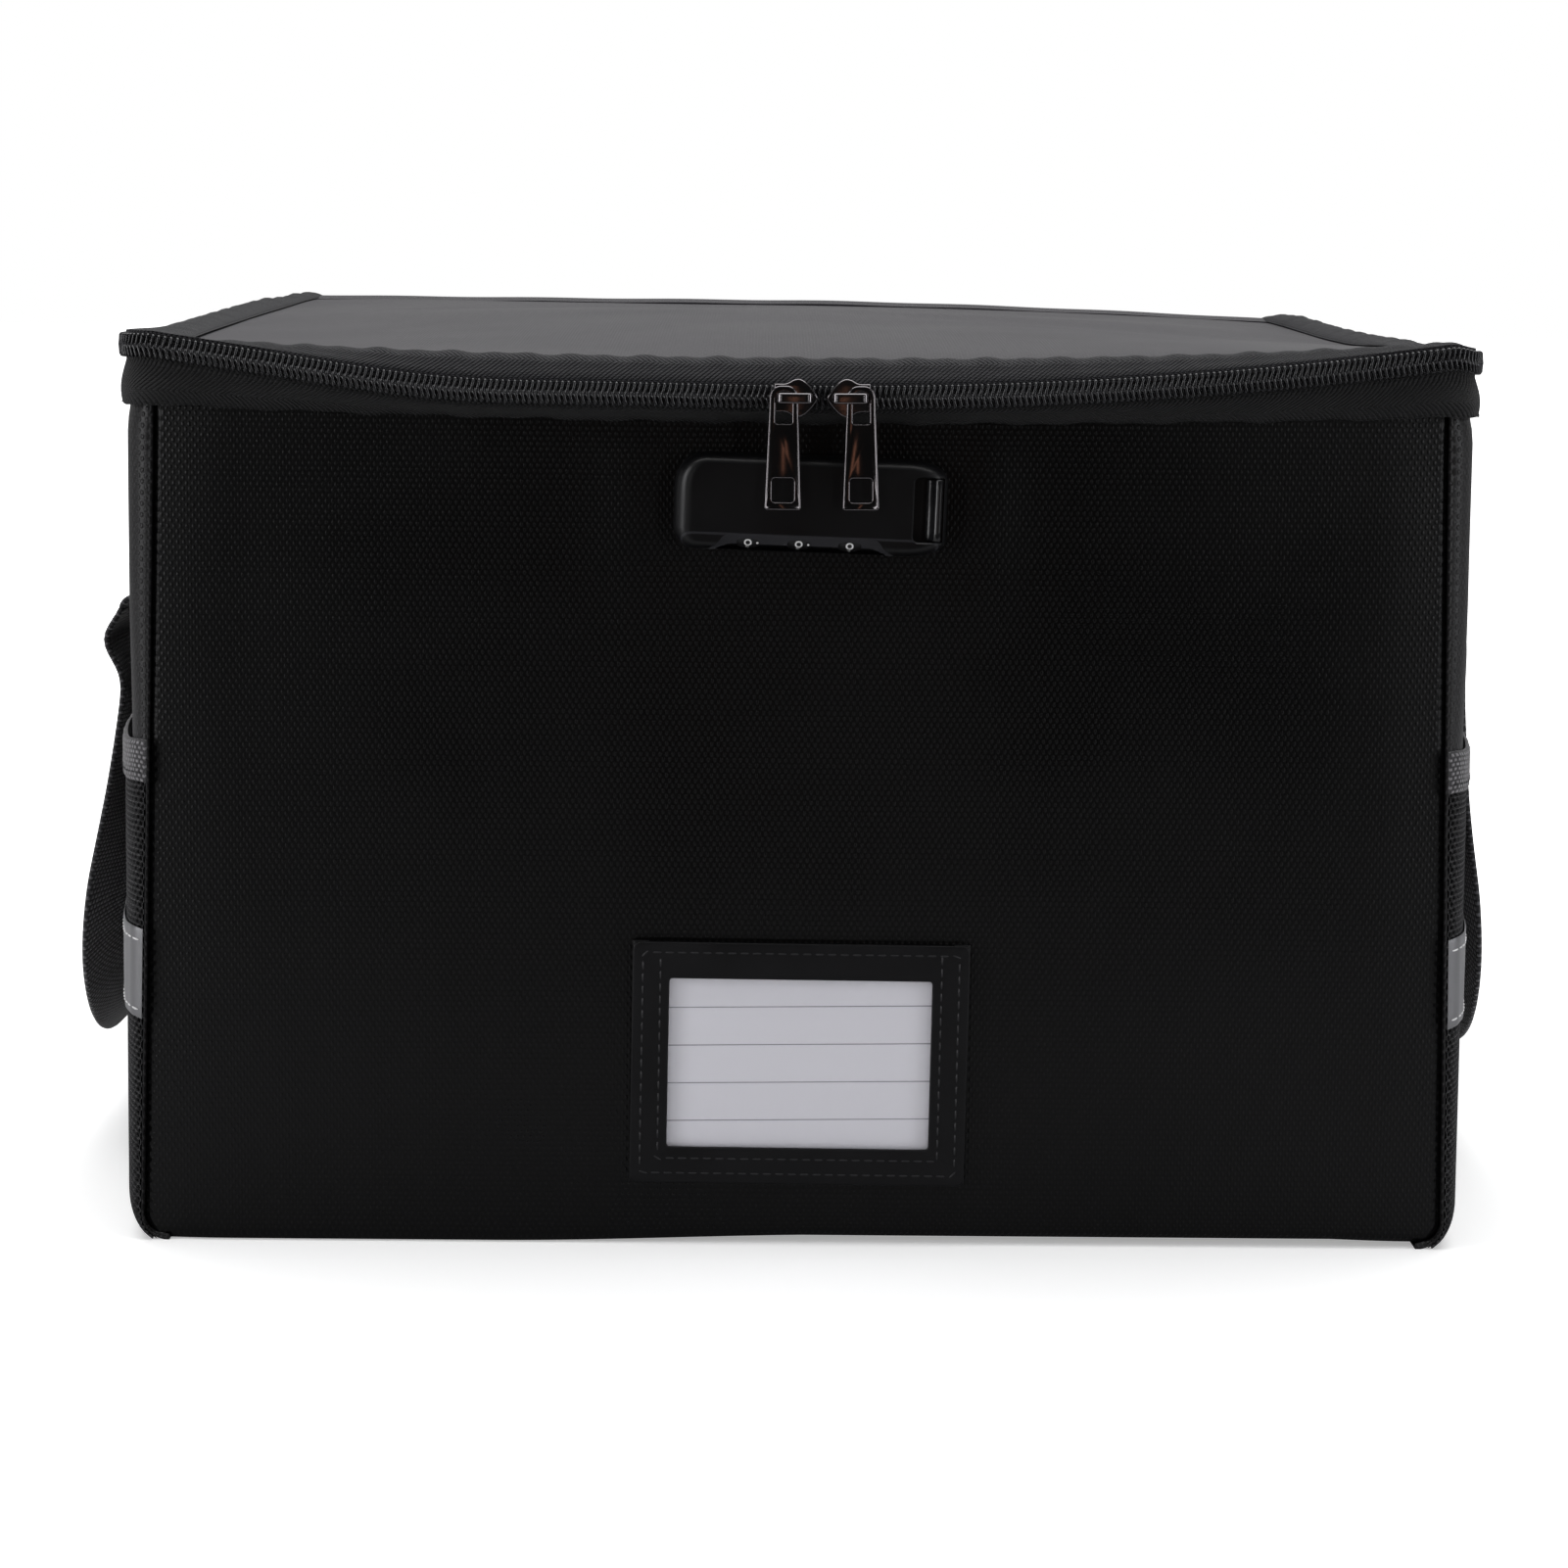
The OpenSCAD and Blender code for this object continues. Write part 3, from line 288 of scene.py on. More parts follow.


# the lock's sizes come first, because its plastic has a painted highlight on the sloping lip
lock = {"x": 2.5, "y": -162.723, "z": 223, "tilt": 1.7, "w": 79, "h": 28, "t": 13, "wheelX": -3, "pitch": 14.7,
        "wheelY": -7.5, "wheelZ": -8.5, "wheelR": 4.55, "wheelW": 7, "digitAngle": 220}
mats = {
    "cloth": coatedCloth("coatedCloth", (0.001, 0.001, 0.0011), (0.0034, 0.0034, 0.0036), 0.31, 0.24, 0.00011),
    # painted light: the lid's copy of the coated cloth is painted far lighter than the front's, where the overhead
    # lamp falls on it
    "lidClothPaintedLight": coatedCloth("lidClothPaintedLight", (0.016, 0.0145, 0.0178), (0.05, 0.0462, 0.0555), 0.42, 0.3, 0.00022),
    # painted light: the sides' copy of the coated cloth is painted lighter than the front's, where the side and
    # overhead lamps fall
    "sideClothPaintedLight": coatedCloth("sideClothPaintedLight", (0.005, 0.0048, 0.005), (0.026, 0.025, 0.0262), 0.42, 0.35, 0.0003),
    "lining": plastic("lining", (0.02, 0.02, 0.022), (0.03, 0.03, 0.033), 0.6, 0.25, 1800, 0.00004),
    "board": plastic("board", (0.012, 0.012, 0.012), (0.02, 0.02, 0.021), 0.85, 0.1, 700, 0.00008),
    "tape": herringbone("zipTape", (0.0006, 0.0006, 0.0007), (0.008, 0.008, 0.0087), 7.2),
    "upperTapePaintedLight": herringbone("upperZipTape", (0.0012, 0.0012, 0.0016), (0.021, 0.0205, 0.0262), 6.4),
    # painted light: the upper tape is a lighter copy of the lower tape's herringbone, where the overhead lamp falls on
    # its roll over the lid
    "coil": plastic("zipCoil", (0.008, 0.008, 0.009), (0.014, 0.014, 0.016), 0.2, 0.55, 600, 0.00001),
    "gunmetal": metal("gunmetal", (0.17, 0.16, 0.165), 0.12),
    "pullMetal": metal("pullMetal", (0.15, 0.14, 0.145), 0.09, 0.000003, 0.0175),
    "steel": metal("steel", (0.5, 0.5, 0.52), 0.3),
    # its last colour is the painted highlight on the lock's sloping lip
    "lock": plastic("lockPlastic", (0.0016, 0.0016, 0.002), (0.003, 0.003, 0.0036), 0.36, 0.3, 1600, 0.00003,
                    (0.02, 0.02, 0.023)),
    "gloss": plastic("lockGloss", (0.005, 0.005, 0.0055), (0.008, 0.008, 0.009), 0.16, 0.5, 900, 0.00001),
    "dial": plastic("dialPlastic", (0.004, 0.004, 0.0045), (0.006, 0.006, 0.0066), 0.34, 0.35, 900, 0.00001),
    "digits": plastic("dialInk", (0.6, 0.6, 0.6), (0.7, 0.7, 0.7), 0.6, 0.2, 900, 0.00001),
    "leather": leatherCloth("labelLeather"),
    "card": ruledCard(),
    "film": clearFilm(),
    "mesh": wovenRibs("pocketMesh", (0.02, 0.02, 0.021), (0.07, 0.069, 0.073), 0.6, 0.5, 0.5, 0.00012, 0.2),
    # near-black back layer of the spacer mesh: partly its real back face, partly painted shade seen through the holes
    "meshBackPaintedShade": plastic("meshBackPaintedShade", (0.0015, 0.0015, 0.0016), (0.003, 0.003, 0.0032), 0.8, 0.1, 1500, 0.00005),
    "binding": wovenRibs("binding", (0.005, 0.005, 0.0055), (0.26, 0.252, 0.268), 0.6, 1.6, 1.3, 0.0005, 0.3),
    # the webbing's light colour on its floats is a painted highlight for their glints
    "webbing": wovenRibs("webbing", (0.001, 0.001, 0.0014), (0.13, 0.128, 0.14), 0.5, 1.9, 1.3, 0.0006, 0.3),
    "reflective": reflectiveTape(),
    "blackThread": thread("blackThread", (0.006, 0.006, 0.007), (0.02, 0.02, 0.022)),
    "whiteThread": thread("whiteThread", (0.6, 0.6, 0.6), (0.8, 0.8, 0.8)),
}
print("materials")


# ---- mesh helpers: points come in millimetres ----
def xyz(*columns):
    return np.stack(np.broadcast_arrays(*columns), -1)


def unit(v):
    return v / np.linalg.norm(v, axis=-1, keepdims=True)


def rowsOfPoints(at, run, table):
    # each column of a table, read at given lengths of a run
    return np.stack([np.interp(at, run, column) for column in np.asarray(table).T], -1)


def addObject(name, verts, faces, material, uvs=None, sharp=40):
    mesh = bpy.data.meshes.new(name)
    mesh.from_pydata([tuple(v) for v in np.asarray(verts, float) * mm], [], faces)
    if uvs is not None:
        layer = mesh.uv_layers.new(name="cloth")
        loops = np.zeros(len(mesh.loops), int)
        mesh.loops.foreach_get("vertex_index", loops)
        layer.data.foreach_set("uv", np.asarray(uvs, np.float32)[loops].ravel())
    bm = bmesh.new()
    bm.from_mesh(mesh)
    bmesh.ops.recalc_face_normals(bm, faces=bm.faces)
    bm.to_mesh(mesh)
    bm.free()
    mesh.shade_smooth()
    mesh.set_sharp_from_angle(angle=rad(sharp))
    mesh.materials.append(mats[material])
    obj = bpy.data.objects.new(name, mesh)
    bpy.context.scene.collection.objects.link(obj)
    return obj


def finishPiece(obj, bodyName, slot, *nodes):
    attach(obj, bodyName)
    if nodes:
        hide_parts(*nodes)


def paintNode(node, material):
    node.data.materials.clear()
    node.data.materials.append(mats[material])


def gridFaces(nu, nv, offset=0):
    corners = [offset + i * nv + j for i in range(nu - 1) for j in range(nv - 1)]
    return [(a, a + nv, a + nv + 1, a + 1) for a in corners]


def ringFaces(n, m, start=0, closed=False, capped=True):
    # faces between n rings of m points
    faces = []
    for i in range(n if closed else n - 1):
        a, b = start + i * m, start + (i + 1) % n * m
        faces += [(a + j, a + (j + 1) % m, b + (j + 1) % m, b + j) for j in range(m)]
    if capped and not closed:
        faces += [tuple(range(start, start + m)), tuple(range(start + n * m - 1, start + (n - 1) * m - 1, -1))]
    return faces


def closedSheet(name, outer, inner, u, v, material, sharp=40):
    # outer and inner are grids of points; u and v are cloth coordinates in mm
    nu, nv = outer.shape[:2]
    count = nu * nv
    faces = gridFaces(nu, nv) + [f[::-1] for f in gridFaces(nu, nv, count)]
    ids = np.arange(count).reshape(nu, nv)
    rim = [int(i) for i in np.concatenate([ids[:, 0], ids[-1, 1:], ids[-2::-1, -1], ids[0, -2:0:-1]])]
    faces += [(b, a, a + count, b + count) for a, b in zip(rim, rim[1:] + rim[:1])]
    uv = xyz(u, v).reshape(-1, 2)
    verts = np.concatenate([outer.reshape(-1, 3), inner.reshape(-1, 3)])
    return addObject(name, verts, faces, material, np.concatenate([uv, uv]), sharp)


def sheetPiece(name, outer, offset, u, v, material, bodyName, slot, *nodes):
    finishPiece(closedSheet(name, outer, outer + np.asarray(offset), u, v, material), bodyName, slot, *nodes)


def sweptRings(name, rings, u, v, material, sharp=40):
    # rings: array [n, m, 3]; u and v: cloth coordinates of each point
    n, m = rings.shape[:2]
    uvs = xyz(u, v, np.zeros((n, m)))[..., :2]
    return addObject(name, rings.reshape(-1, 3), ringFaces(n, m), material, uvs.reshape(-1, 2), sharp)


def stitchRow(name, centres, alongs, outs, length, radius, material, sides=6):
    # one small sunken capsule per stitch
    ends = ((-1, 0.05), (-0.86, 0.6), (-0.4, 1.0), (0.4, 1.0), (0.86, 0.6), (1.0, 0.05))
    angle = np.linspace(0, 2 * math.pi, sides, endpoint=False)
    verts, faces = [], []
    for c, a, o in zip(centres, alongs, outs):
        a = unit(a)
        o = unit(o - a * np.dot(a, o))
        side = np.cross(a, o)
        faces += ringFaces(len(ends), sides, len(verts))
        for t, r in ends:
            dip = -radius * 0.9 * abs(t) ** 3
            verts += [c + a * t * length / 2 + o * (math.cos(w) * r * radius + dip) + side * math.sin(w) * r * radius
                      for w in angle]
    return addObject(name, verts, faces, material)


def runLength(points):
    step = np.linalg.norm(np.diff(points, axis=0), axis=1)
    return np.concatenate([[0], np.cumsum(step)])


def alongPath(points, pitch, start=0.0):
    # places every pitch along a polyline, with directions
    points = np.asarray(points, float)
    run = runLength(points)
    at = np.arange(start + pitch / 2, run[-1] - start, pitch)
    ahead, back = rowsOfPoints(at + 0.2, run, points), rowsOfPoints(at - 0.2, run, points)
    return rowsOfPoints(at, run, points), ahead - back


def alongPaths(lines, pitch, start=0.0):
    found = [alongPath(line, pitch, start) for line in lines]
    return np.concatenate([pos for pos, _ in found]), np.concatenate([d for _, d in found])


def smooth(t):
    t = np.clip(t, 0, 1)
    return t * t * (3 - 2 * t)


def lerp(a, b, t):
    return a + (b - a) * t


def bell(x, middle, width):
    return np.exp(-((x - middle) / width) ** 2)


def nearEdge(distance, reach):
    # 1 at an edge, 0 from the reach on
    return 1 - np.clip(distance / reach, 0, 1)


def wave(x, y, seed, scale):
    # soft repeatable unevenness, about -1 to 1
    r = random.Random(seed)
    out = 0
    for i in range(6):
        fx, fy, p = r.uniform(0.5, 1.6) / scale, r.uniform(0.5, 1.6) / scale, r.uniform(0, 6.28)
        s = 1 if r.random() > 0.5 else -1
        out = out + np.sin(fx * x + s * fy * y + p)
    return out / 3.0


def sided(right, *grids):
    # pieces are drawn on the right
    return [p * np.array([1 if right else -1, 1, 1]) for p in grids]


# ---- surfaces of the body, as in the part's source ----
def belly(a):
    return np.cos(a) * np.sqrt(1 + np.sin(a) ** 2)


def lowerTurn(k):
    return np.radians(90 * (np.clip(k, 1, 2) - 1))


def seamPoint(k):
    turn, r = lowerTurn(k), body["cornerR"]
    x = np.where(k <= 1, lerp(body["topW"], body["bottomW"], k) / 2, floorHalf + r * np.cos(turn))
    return x, np.where(k <= 1, lerp(body["seamZ"], r, k), r * (1 - np.sin(turn)))


def midPoint(k):
    turn, r = lowerTurn(k), body["gussetR"]
    x = np.where(k <= 1, body["w"] / 2, lerp(floorHalf, body["w"] / 2, np.cos(turn)))
    return x, np.where(k <= 1, lerp(body["seamZ"], r, k), r * (1 - np.sin(turn)))


def seamK(z):
    return (body["seamZ"] - z) / (body["seamZ"] - body["cornerR"])


def sideFace(k, a):
    a = np.clip(a, rad(-89.5), rad(89.5))
    (sx, sz), (mx, mz), b = seamPoint(k), midPoint(k), belly(a)
    return xyz(lerp(sx, mx, b), halfD * np.sin(a), lerp(sz, mz, b))


zipDrop = math.hypot(zipRun["bow"], zipRun["sag"])
zipR = ((body["topW"] / 2) ** 2 + zipDrop ** 2) / (2 * zipDrop)


def sagAt(x):
    return (np.sqrt(zipR ** 2 - x ** 2) - (zipR - zipDrop)) / zipDrop


def frontFace(u, k):
    x, z = seamPoint(k)
    s = sagAt(u * body["topW"] / 2) * np.clip(z / body["seamZ"], 0, 1) ** 4
    return xyz(u * x, -halfD - body["bow"] * s, z - body["seamSag"] * s)


def sideNormals(k, a):
    dk, da = 0.002, rad(0.2)
    return unit(np.cross(sideFace(k + dk, a) - sideFace(k - dk, a), sideFace(k, a + da) - sideFace(k, a - da)))


def easedOver(table, y, reach):
    return sum(np.interp(y + d, *table) for d in (-reach, 0, reach)) / 3


# how far the soft sides of the lid hang, and how far the rolls on them rise, from the front to the rear
hang = {"right": ((-160, -140, -40, 0, 60, 100, 150, 160), (2, 3.5, 7.1, 8.6, 8.4, 7.4, 5.4, 5.3)),
        "left": ((-160, -132, -64, 33, 100, 140, 152, 160), (3.6, 7.6, 6.0, 3.8, 2.3, 0.3, -0.2, -0.2))}
rollLift = {"right": ((-160, -80, -50, 0, 100, 150), (-1.1, -1.1, 0.9, 2.2, 2.4, 3.1)),
            "left": ((-160, -132, -105, -88, -20, 70, 100, 130, 150), (1.2, 2.9, 3.0, 1.4, 2.0, 2.1, 2.1, 0.5, 1.6))}


def hangAt(x, y):
    right, left = easedOver(hang["right"], y, 14), easedOver(hang["left"], y, 14)
    return np.where(x > 0, right, left) * np.clip(np.abs(x) / halfW, 0, 1) ** 1.6


# ---- front, side, back and bottom cloth ----
def bottomLift(x):
    return 2.6 * smooth((x + 90) / 110) * (1 - 0.45 * smooth((x - 150) / 45))


def makeFrontCloth():
    u = np.linspace(-1, 1, 141)
    edge = np.array([0.0, 0.5, 1.2, 2.2, 3.4, 5.0]) / halfW
    u = np.unique(np.concatenate([u[(u > -0.97) & (u < 0.97)], -1 + edge, 1 - edge]))
    z = np.unique(np.concatenate([np.linspace(10, 250, 97), [252, 254], [0.4, 1.2, 2.4, 4, 6, 8]]))
    r = body["cornerR"]
    k = np.where(z >= r, seamK(z), 1 + np.degrees(np.arcsin(1 - np.minimum(z, r) / r)) / 90)
    U, K = np.meshgrid(u, k, indexing="ij")
    P = frontFace(U, K)
    x, z = P[..., 0].copy(), P[..., 2].copy()
    fromSide = (1 - np.abs(U)) * seamPoint(K)[0]
    d = np.minimum(fromSide, z)
    swell = 0.35 * wave(x, z, 3, 38) + 0.9 * bell(x, 54, 9) * bell(z, 222, 30) + 0.7 * bell(x, -49, 9) * bell(z, 222, 26) \
        - 0.5 * bell(x, 2, 60) * bell(z, 205, 7)
    calm = smooth(d / 30) * smooth((246 - z) / 10)
    tuck = 1.5 * nearEdge(d, 3.2) ** 2 + 1.1 * nearEdge(fromSide, 22) ** 2
    P[..., 1] -= 0.25 + swell * calm - tuck
    P[..., 0] -= np.sign(U) * 0.25 * (np.abs(U) > 0.999)
    P[..., 2] += bottomLift(x) * nearEdge(z, 16) ** 2
    sheetPiece("frontCloth", P, (0, 1.0, 0), x, z, "cloth", "box_body", "outer_cloth", "front_panel")


def makeSideCloth(side, right):
    fine = [86, 87.5, 88.6, 89.4]
    a = np.radians(np.unique(np.concatenate([np.linspace(-84, 84, 85), fine, [-deg for deg in fine]])))
    z = np.unique(np.concatenate([np.linspace(18, 250, 59), [252, 254]]))[::-1]
    k = np.concatenate([(body["seamZ"] - z) / (body["seamZ"] - body["gussetR"]), np.linspace(1, 1.99, 14)[1:]])
    K, A = np.meshgrid(k, a, indexing="ij")
    P, N = sideFace(K, A), sideNormals(K, A)
    y, z = P[..., 1], P[..., 2]
    d = (rad(89.5) - np.abs(A)) * 60
    puff = 1.7 * bell(np.degrees(-A), 74, 13) * smooth((z - 130) / 70) * smooth((252 - z) / 9)
    rise = puff + 0.2 + 0.5 * wave(y, z, 11 if right else 12, 30) * smooth(d / 30) - 1.1 * nearEdge(d, 2.2) ** 2
    run = runLength(sideFace(np.full_like(a, 0.5), a))
    down = runLength(sideFace(k, np.zeros_like(k)))
    P, inward = sided(right, P + N * rise[..., None], -N)
    # the sides use the painted-light copy of the coated cloth
    sheetPiece(side + "SideCloth", P, inward, run, -down[:, None], "sideClothPaintedLight", "box_body", "outer_cloth",
               side + "_side_panel")


def makeBack():
    z = np.unique(np.concatenate([np.linspace(10, 276, 60), [0.6, 1.6, 3, 5, 7, 277.6]]))
    U, Z = np.meshgrid(np.linspace(-1, 1, 61), z, indexing="ij")
    r = body["cornerR"]
    corner = floorHalf + np.sqrt(np.clip(r * r - (r - Z) ** 2, 0, None))
    half = np.where(Z >= r, lerp(body["topW"], body["bottomW"], seamK(Z)) / 2, corner) - 0.4
    X, d = U * half, np.minimum((1 - np.abs(U)) * half, Z)
    swell = 0.21 * wave(X, Z, 21, 34) * smooth(d / 30) * smooth((270 - Z) / 15)
    y = halfD + 0.1 + swell - 1.3 * nearEdge(d, 3) ** 2
    y = np.where(Z > 262, np.minimum(y, halfD + 0.25), y)
    P = xyz(X, y, Z - hangAt(X, halfD) * smooth((Z - 235) / 35))
    sheetPiece("backCloth", P, (0, -1.0, 0), X, Z, "cloth", "box_body", "outer_cloth", "back_panel")


def makeBottom():
    w, h = floorHalf - body["ply"], halfD - body["skin"] - body["ply"]
    u, v = np.meshgrid(np.linspace(-w, w, 61), np.linspace(-h, h, 51), indexing="ij")
    z = 0.5 * nearEdge(np.minimum(w - np.abs(u), h - np.abs(v)), 3) ** 2 + bottomLift(u) * nearEdge(v + h, 20) ** 2
    sheetPiece("bottomCloth", xyz(u, v, z), (0, 0, 0.8), u, v, "cloth", "box_body", "outer_cloth", "bottom_panel")


makeFrontCloth()
for side, right in sidePairs:
    makeSideCloth(side, right)
makeBack()
makeBottom()
print("outer cloth")


# ---- lining ----
def makeLining():
    u, z = np.linspace(-1, 1, 61) * (1 - 2 / halfW), np.linspace(8, 253, 50)
    P = frontFace(*np.meshgrid(u, seamK(z), indexing="ij")) + np.array([0, liningIn, 0])
    sheetPiece("frontLining", P, (0, body["lining"], 0), P[..., 0], P[..., 2], "lining", "box_body", "lining",
               "front_lining")
    topK, a = seamK(body["seamZ"] + body["lap"]), np.radians(np.linspace(-88, 88, 60))
    K, A = np.meshgrid(np.linspace(topK, 1, 30), a, indexing="ij")
    N = sideNormals(K, A)
    P = sideFace(K, A) - N * liningIn
    for side, right in sidePairs[::-1]:
        outer, inward = sided(right, P, -N * body["lining"])
        sheetPiece(side + "Lining", outer, inward, P[..., 1], P[..., 2], "lining", "box_body", "lining", side + "_lining")


makeLining()


# ---- rim: stations round three sides, as x, y, outward x, outward y, sag ----
def rimX(a):
    return lerp(body["topW"], body["w"], belly(a)) / 2


def rimTangent(a, h):
    return xyz(rimX(a + h) - rimX(a - h), halfD * (np.sin(a + h) - np.sin(a - h)))


def sideStations(a):
    t = unit(rimTangent(a, rad(0.1)))
    return xyz(rimX(a), halfD * np.sin(a), t[:, 1], -t[:, 0], 0)


def rimStations():
    a = np.radians(np.concatenate([np.linspace(zipRun["endA"], -60, 90), np.linspace(-60, -89.9, 60)[1:]]))
    side = sideStations(a)
    x = np.linspace(-body["topW"] / 2 + 1.5, body["topW"] / 2 - 1.5, 150)
    return np.concatenate([side * np.array([-1, 1, -1, 1, 1]), xyz(x, -halfD, 0, -1, sagAt(x)), side[::-1]])


def roundedRim(half):
    # even steps round the rim, its plan eased over a length each side
    step = 0.25
    sharp = rimStations()
    run = runLength(sharp[:, :2])
    s = np.arange(0, run[-1], step)
    path = rowsOfPoints(s, run, sharp[:, [0, 1, 4]])
    n = int(half / step)
    wide = np.pad(path, ((n, n), (0, 0)), mode="reflect", reflect_type="odd")
    for k in (0, 1):
        path[:, k] = np.convolve(wide[:, k], np.ones(2 * n + 1) / (2 * n + 1), "valid")
    t = unit(np.gradient(path[:, :2], axis=0))
    return s, xyz(path[:, 0], path[:, 1], t[:, 1], -t[:, 0], path[:, 2])


rimRun, rim = roundedRim(10)
footRim = roundedRim(4)[1]


def rimAt(s, table=rim):
    out = rowsOfPoints(s, rimRun, table)
    out[..., 2:4] = unit(out[..., 2:4])
    return out


def standOff(st, out, z):
    # point a distance out from a station, at a height
    return xyz(st[..., 0] + st[..., 2] * out, st[..., 1] + st[..., 3] * out, z)


def zipOut(st):
    return zipRun["proud"] + zipRun["bow"] * st[..., 4]


def zipHeight(st):
    x, front = st[..., 0], smooth((np.abs(st[..., 3]) - 0.5) * 2)
    low = np.where(x > 0, 0.45, 0) * hangAt(x, st[..., 1]) * (1 - front) + 2.2 * front * bell(x, -105, 42)
    return zipRun["z"] - zipRun["sag"] * st[..., 4] - low


# from the middle of the slit to where a tape starts to bend
tapeFlat = zipRun["coilW"] / 2 + 0.3


# ---- zip ----
def sweepAlongRim(name, sections, s, material, sharp, share):
    # sections: (out, z), one pair per corner; share: 0 on the foot's rim, 1 on the zip's
    st, low = rimAt(s), rimAt(s, footRim)
    rings = np.stack([lerp(standOff(low, o, z), standOff(st, o, z), f) for (o, z), f in zip(sections, share)], 1)
    return sweptRings(name, rings, s[:, None], runLength(rings[len(s) // 2]), material, sharp)


def makeLowerTape():
    s = np.arange(0, rimRun[-1], 1.6)
    st = rimAt(s)
    w = st[:, 4]
    foot = body["bow"] * w + body["ply"] + 1.2 + 1.5 * (1 - smooth(w / 0.35))
    footZ = body["seamZ"] - body["seamSag"] * w + 0.25 * np.sin(s / 5.2) + 0.2 * np.sin(s / 2.3 + 1)
    out, head, knee = zipOut(st), zipHeight(st) - zipRun["slit"] / 2, zipHeight(st) - tapeFlat
    slope = 0.5 * np.minimum(1, (out - foot) / (knee - footZ))
    pts, back, share = [(foot + 0.3, footZ - 0.25)], [(foot - 0.9, footZ + 0.2)], [0]
    for t in np.linspace(0, 1, 9):
        o = lerp(foot, out, smooth(t) * 0.75 + t * 0.25) + 0.9 * np.sin(t * math.pi) * (1 - w * 0.7)
        z = lerp(footZ, knee, t)
        pts.append((o, z))
        back.append((o - 0.9, z + 0.35 + slope))
        share.append(smooth(t))
    sections = pts + [(out, head), (out - 0.9, head)] + back[::-1]
    obj = sweepAlongRim("lowerZipTape", sections, s, "tape", 50, share + [1, 1] + share[::-1])
    finishPiece(obj, "box_body", "zip_tape", "lower_zip_tape")


def lidSideZ(y):
    return lerp(lid["frontZ"], lid["rearZ"], (y + halfD) / body["d"])


def lidTop(x, y, sag):
    return lidSideZ(y) - lid["dip"] * sag - hangAt(x, y)


def makeUpperTape():
    s = np.arange(0, rimRun[-1], 1.6)
    st = rimAt(s)
    x, y, w = st[:, 0], st[:, 1], st[:, 4]
    out, head, knee = zipOut(st), zipHeight(st) + zipRun["slit"] / 2, zipHeight(st) + tapeFlat
    side = 1 - smooth(np.abs(st[:, 3]) * 1.3)
    pucker = 0.26 * np.sin(s / 1.75) + 0.2 * np.sin(s / 3.1 + 2)
    inner = lid["bow"] * w - lerp(9.5, 14, side)
    crest = lerp(inner, out, lerp(0.55, 0.5, side))
    hemX, hemY = x + st[:, 2] * inner, y + st[:, 3] * inner
    hem = lidTop(hemX, hemY, w * (0.5 - 0.5 * np.clip(hemY / halfD, -1, 1)) ** 4) + 0.5
    lift = np.where(x > 0, easedOver(rollLift["right"], y, 8), easedOver(rollLift["left"], y, 5))
    top = lidTop(x, y, w) + 1.3 + side * lift
    pts, back = [(out, head)], [(out - 0.9, head)]
    for deg in (0, 14, 28, 42, 56, 70, 84, 98, 112, 126, 140, 156, 180):
        c, h = math.cos(rad(deg)), math.sin(rad(deg))
        if deg <= 90:
            o, z = crest + (out - crest - 1.3 * min(1, deg / 28)) * c, knee + (top - knee) * h
        else:
            o, z = crest + (crest - inner) * c, hem + (top - hem) * h ** 1.3
        z = z + pucker * h ** 3
        pts.append((o, z))
        back.append((o - 0.9 * c, z - 0.9 * max(h, 0.6 if deg > 90 else 0)))
    sections = pts + back[::-1]
    # the upper tape uses the painted-light copy of the herringbone
    obj = sweepAlongRim("upperZipTape", sections, s, "upperTapePaintedLight", 60, [1] * len(sections))
    finishPiece(obj, "lid", "zip_tape", "upper_zip_tape")


def makeCoil(name, up, bodyName, node):
    perTooth = 12
    s = np.arange(1.0, rimRun[-1] - 3.0, zipRun["pitch"] / perTooth)
    phase = 2 * math.pi * s / zipRun["pitch"] + (0 if up > 0 else math.pi)
    squareness = np.tanh(2.2 * np.cos(phase)) / math.tanh(2.2)
    height = 1.45 + 1.65 * squareness
    st = rimAt(s + 0.35 * height)
    wire = 0.46 + 0.24 * smooth((0.1 - squareness) / 1.1)
    line = standOff(st, zipOut(st) + body["ply"] + 0.95 + np.sin(phase) * 0.45, zipHeight(st) + up * height)
    along = unit(np.gradient(line, axis=0))
    ref = xyz(st[:, 2] * np.sin(phase), st[:, 3] * np.sin(phase), np.cos(phase))
    n1 = unit(ref - along * np.sum(ref * along, -1, keepdims=True))
    n2 = np.cross(along, n1)
    ang = np.linspace(0, 2 * math.pi, 6, endpoint=False)[None, :, None]
    rings = line[:, None] + wire[:, None, None] * (np.cos(ang) * n1[:, None] + np.sin(ang) * n2[:, None])
    finishPiece(sweptRings(name, rings, 0, 0, "coil", 80), bodyName, "zip_coil", node)


def makeTabs():
    a = np.radians(np.linspace(zipRun["endA"] + 2, 89, 10))
    st = sideStations(a)
    low = zipRun["z"] - 10
    A, Z = np.meshgrid(np.arange(len(a)), np.linspace(low, zipRun["z"], 7), indexing="ij")
    outer, inner = standOff(st[A], 1.2 + 0.6 * np.sin((Z - low) / 10 * math.pi), Z), standOff(st[A], 0.3, Z)
    for letter, right, nodes in (("R", True, ("zip_end_tabs",)), ("L", False, ())):
        obj = closedSheet("zipEndTab" + letter, *sided(right, outer, inner), A * 1.5, Z, "tape")
        finishPiece(obj, "box_body", "zip_tape", *nodes)


makeLowerTape()
makeUpperTape()
makeCoil("lowerZipCoil", -1, "box_body", "lower_zip_coil")
makeCoil("upperZipCoil", 1, "lid", "upper_zip_coil")
makeTabs()
print("zip")


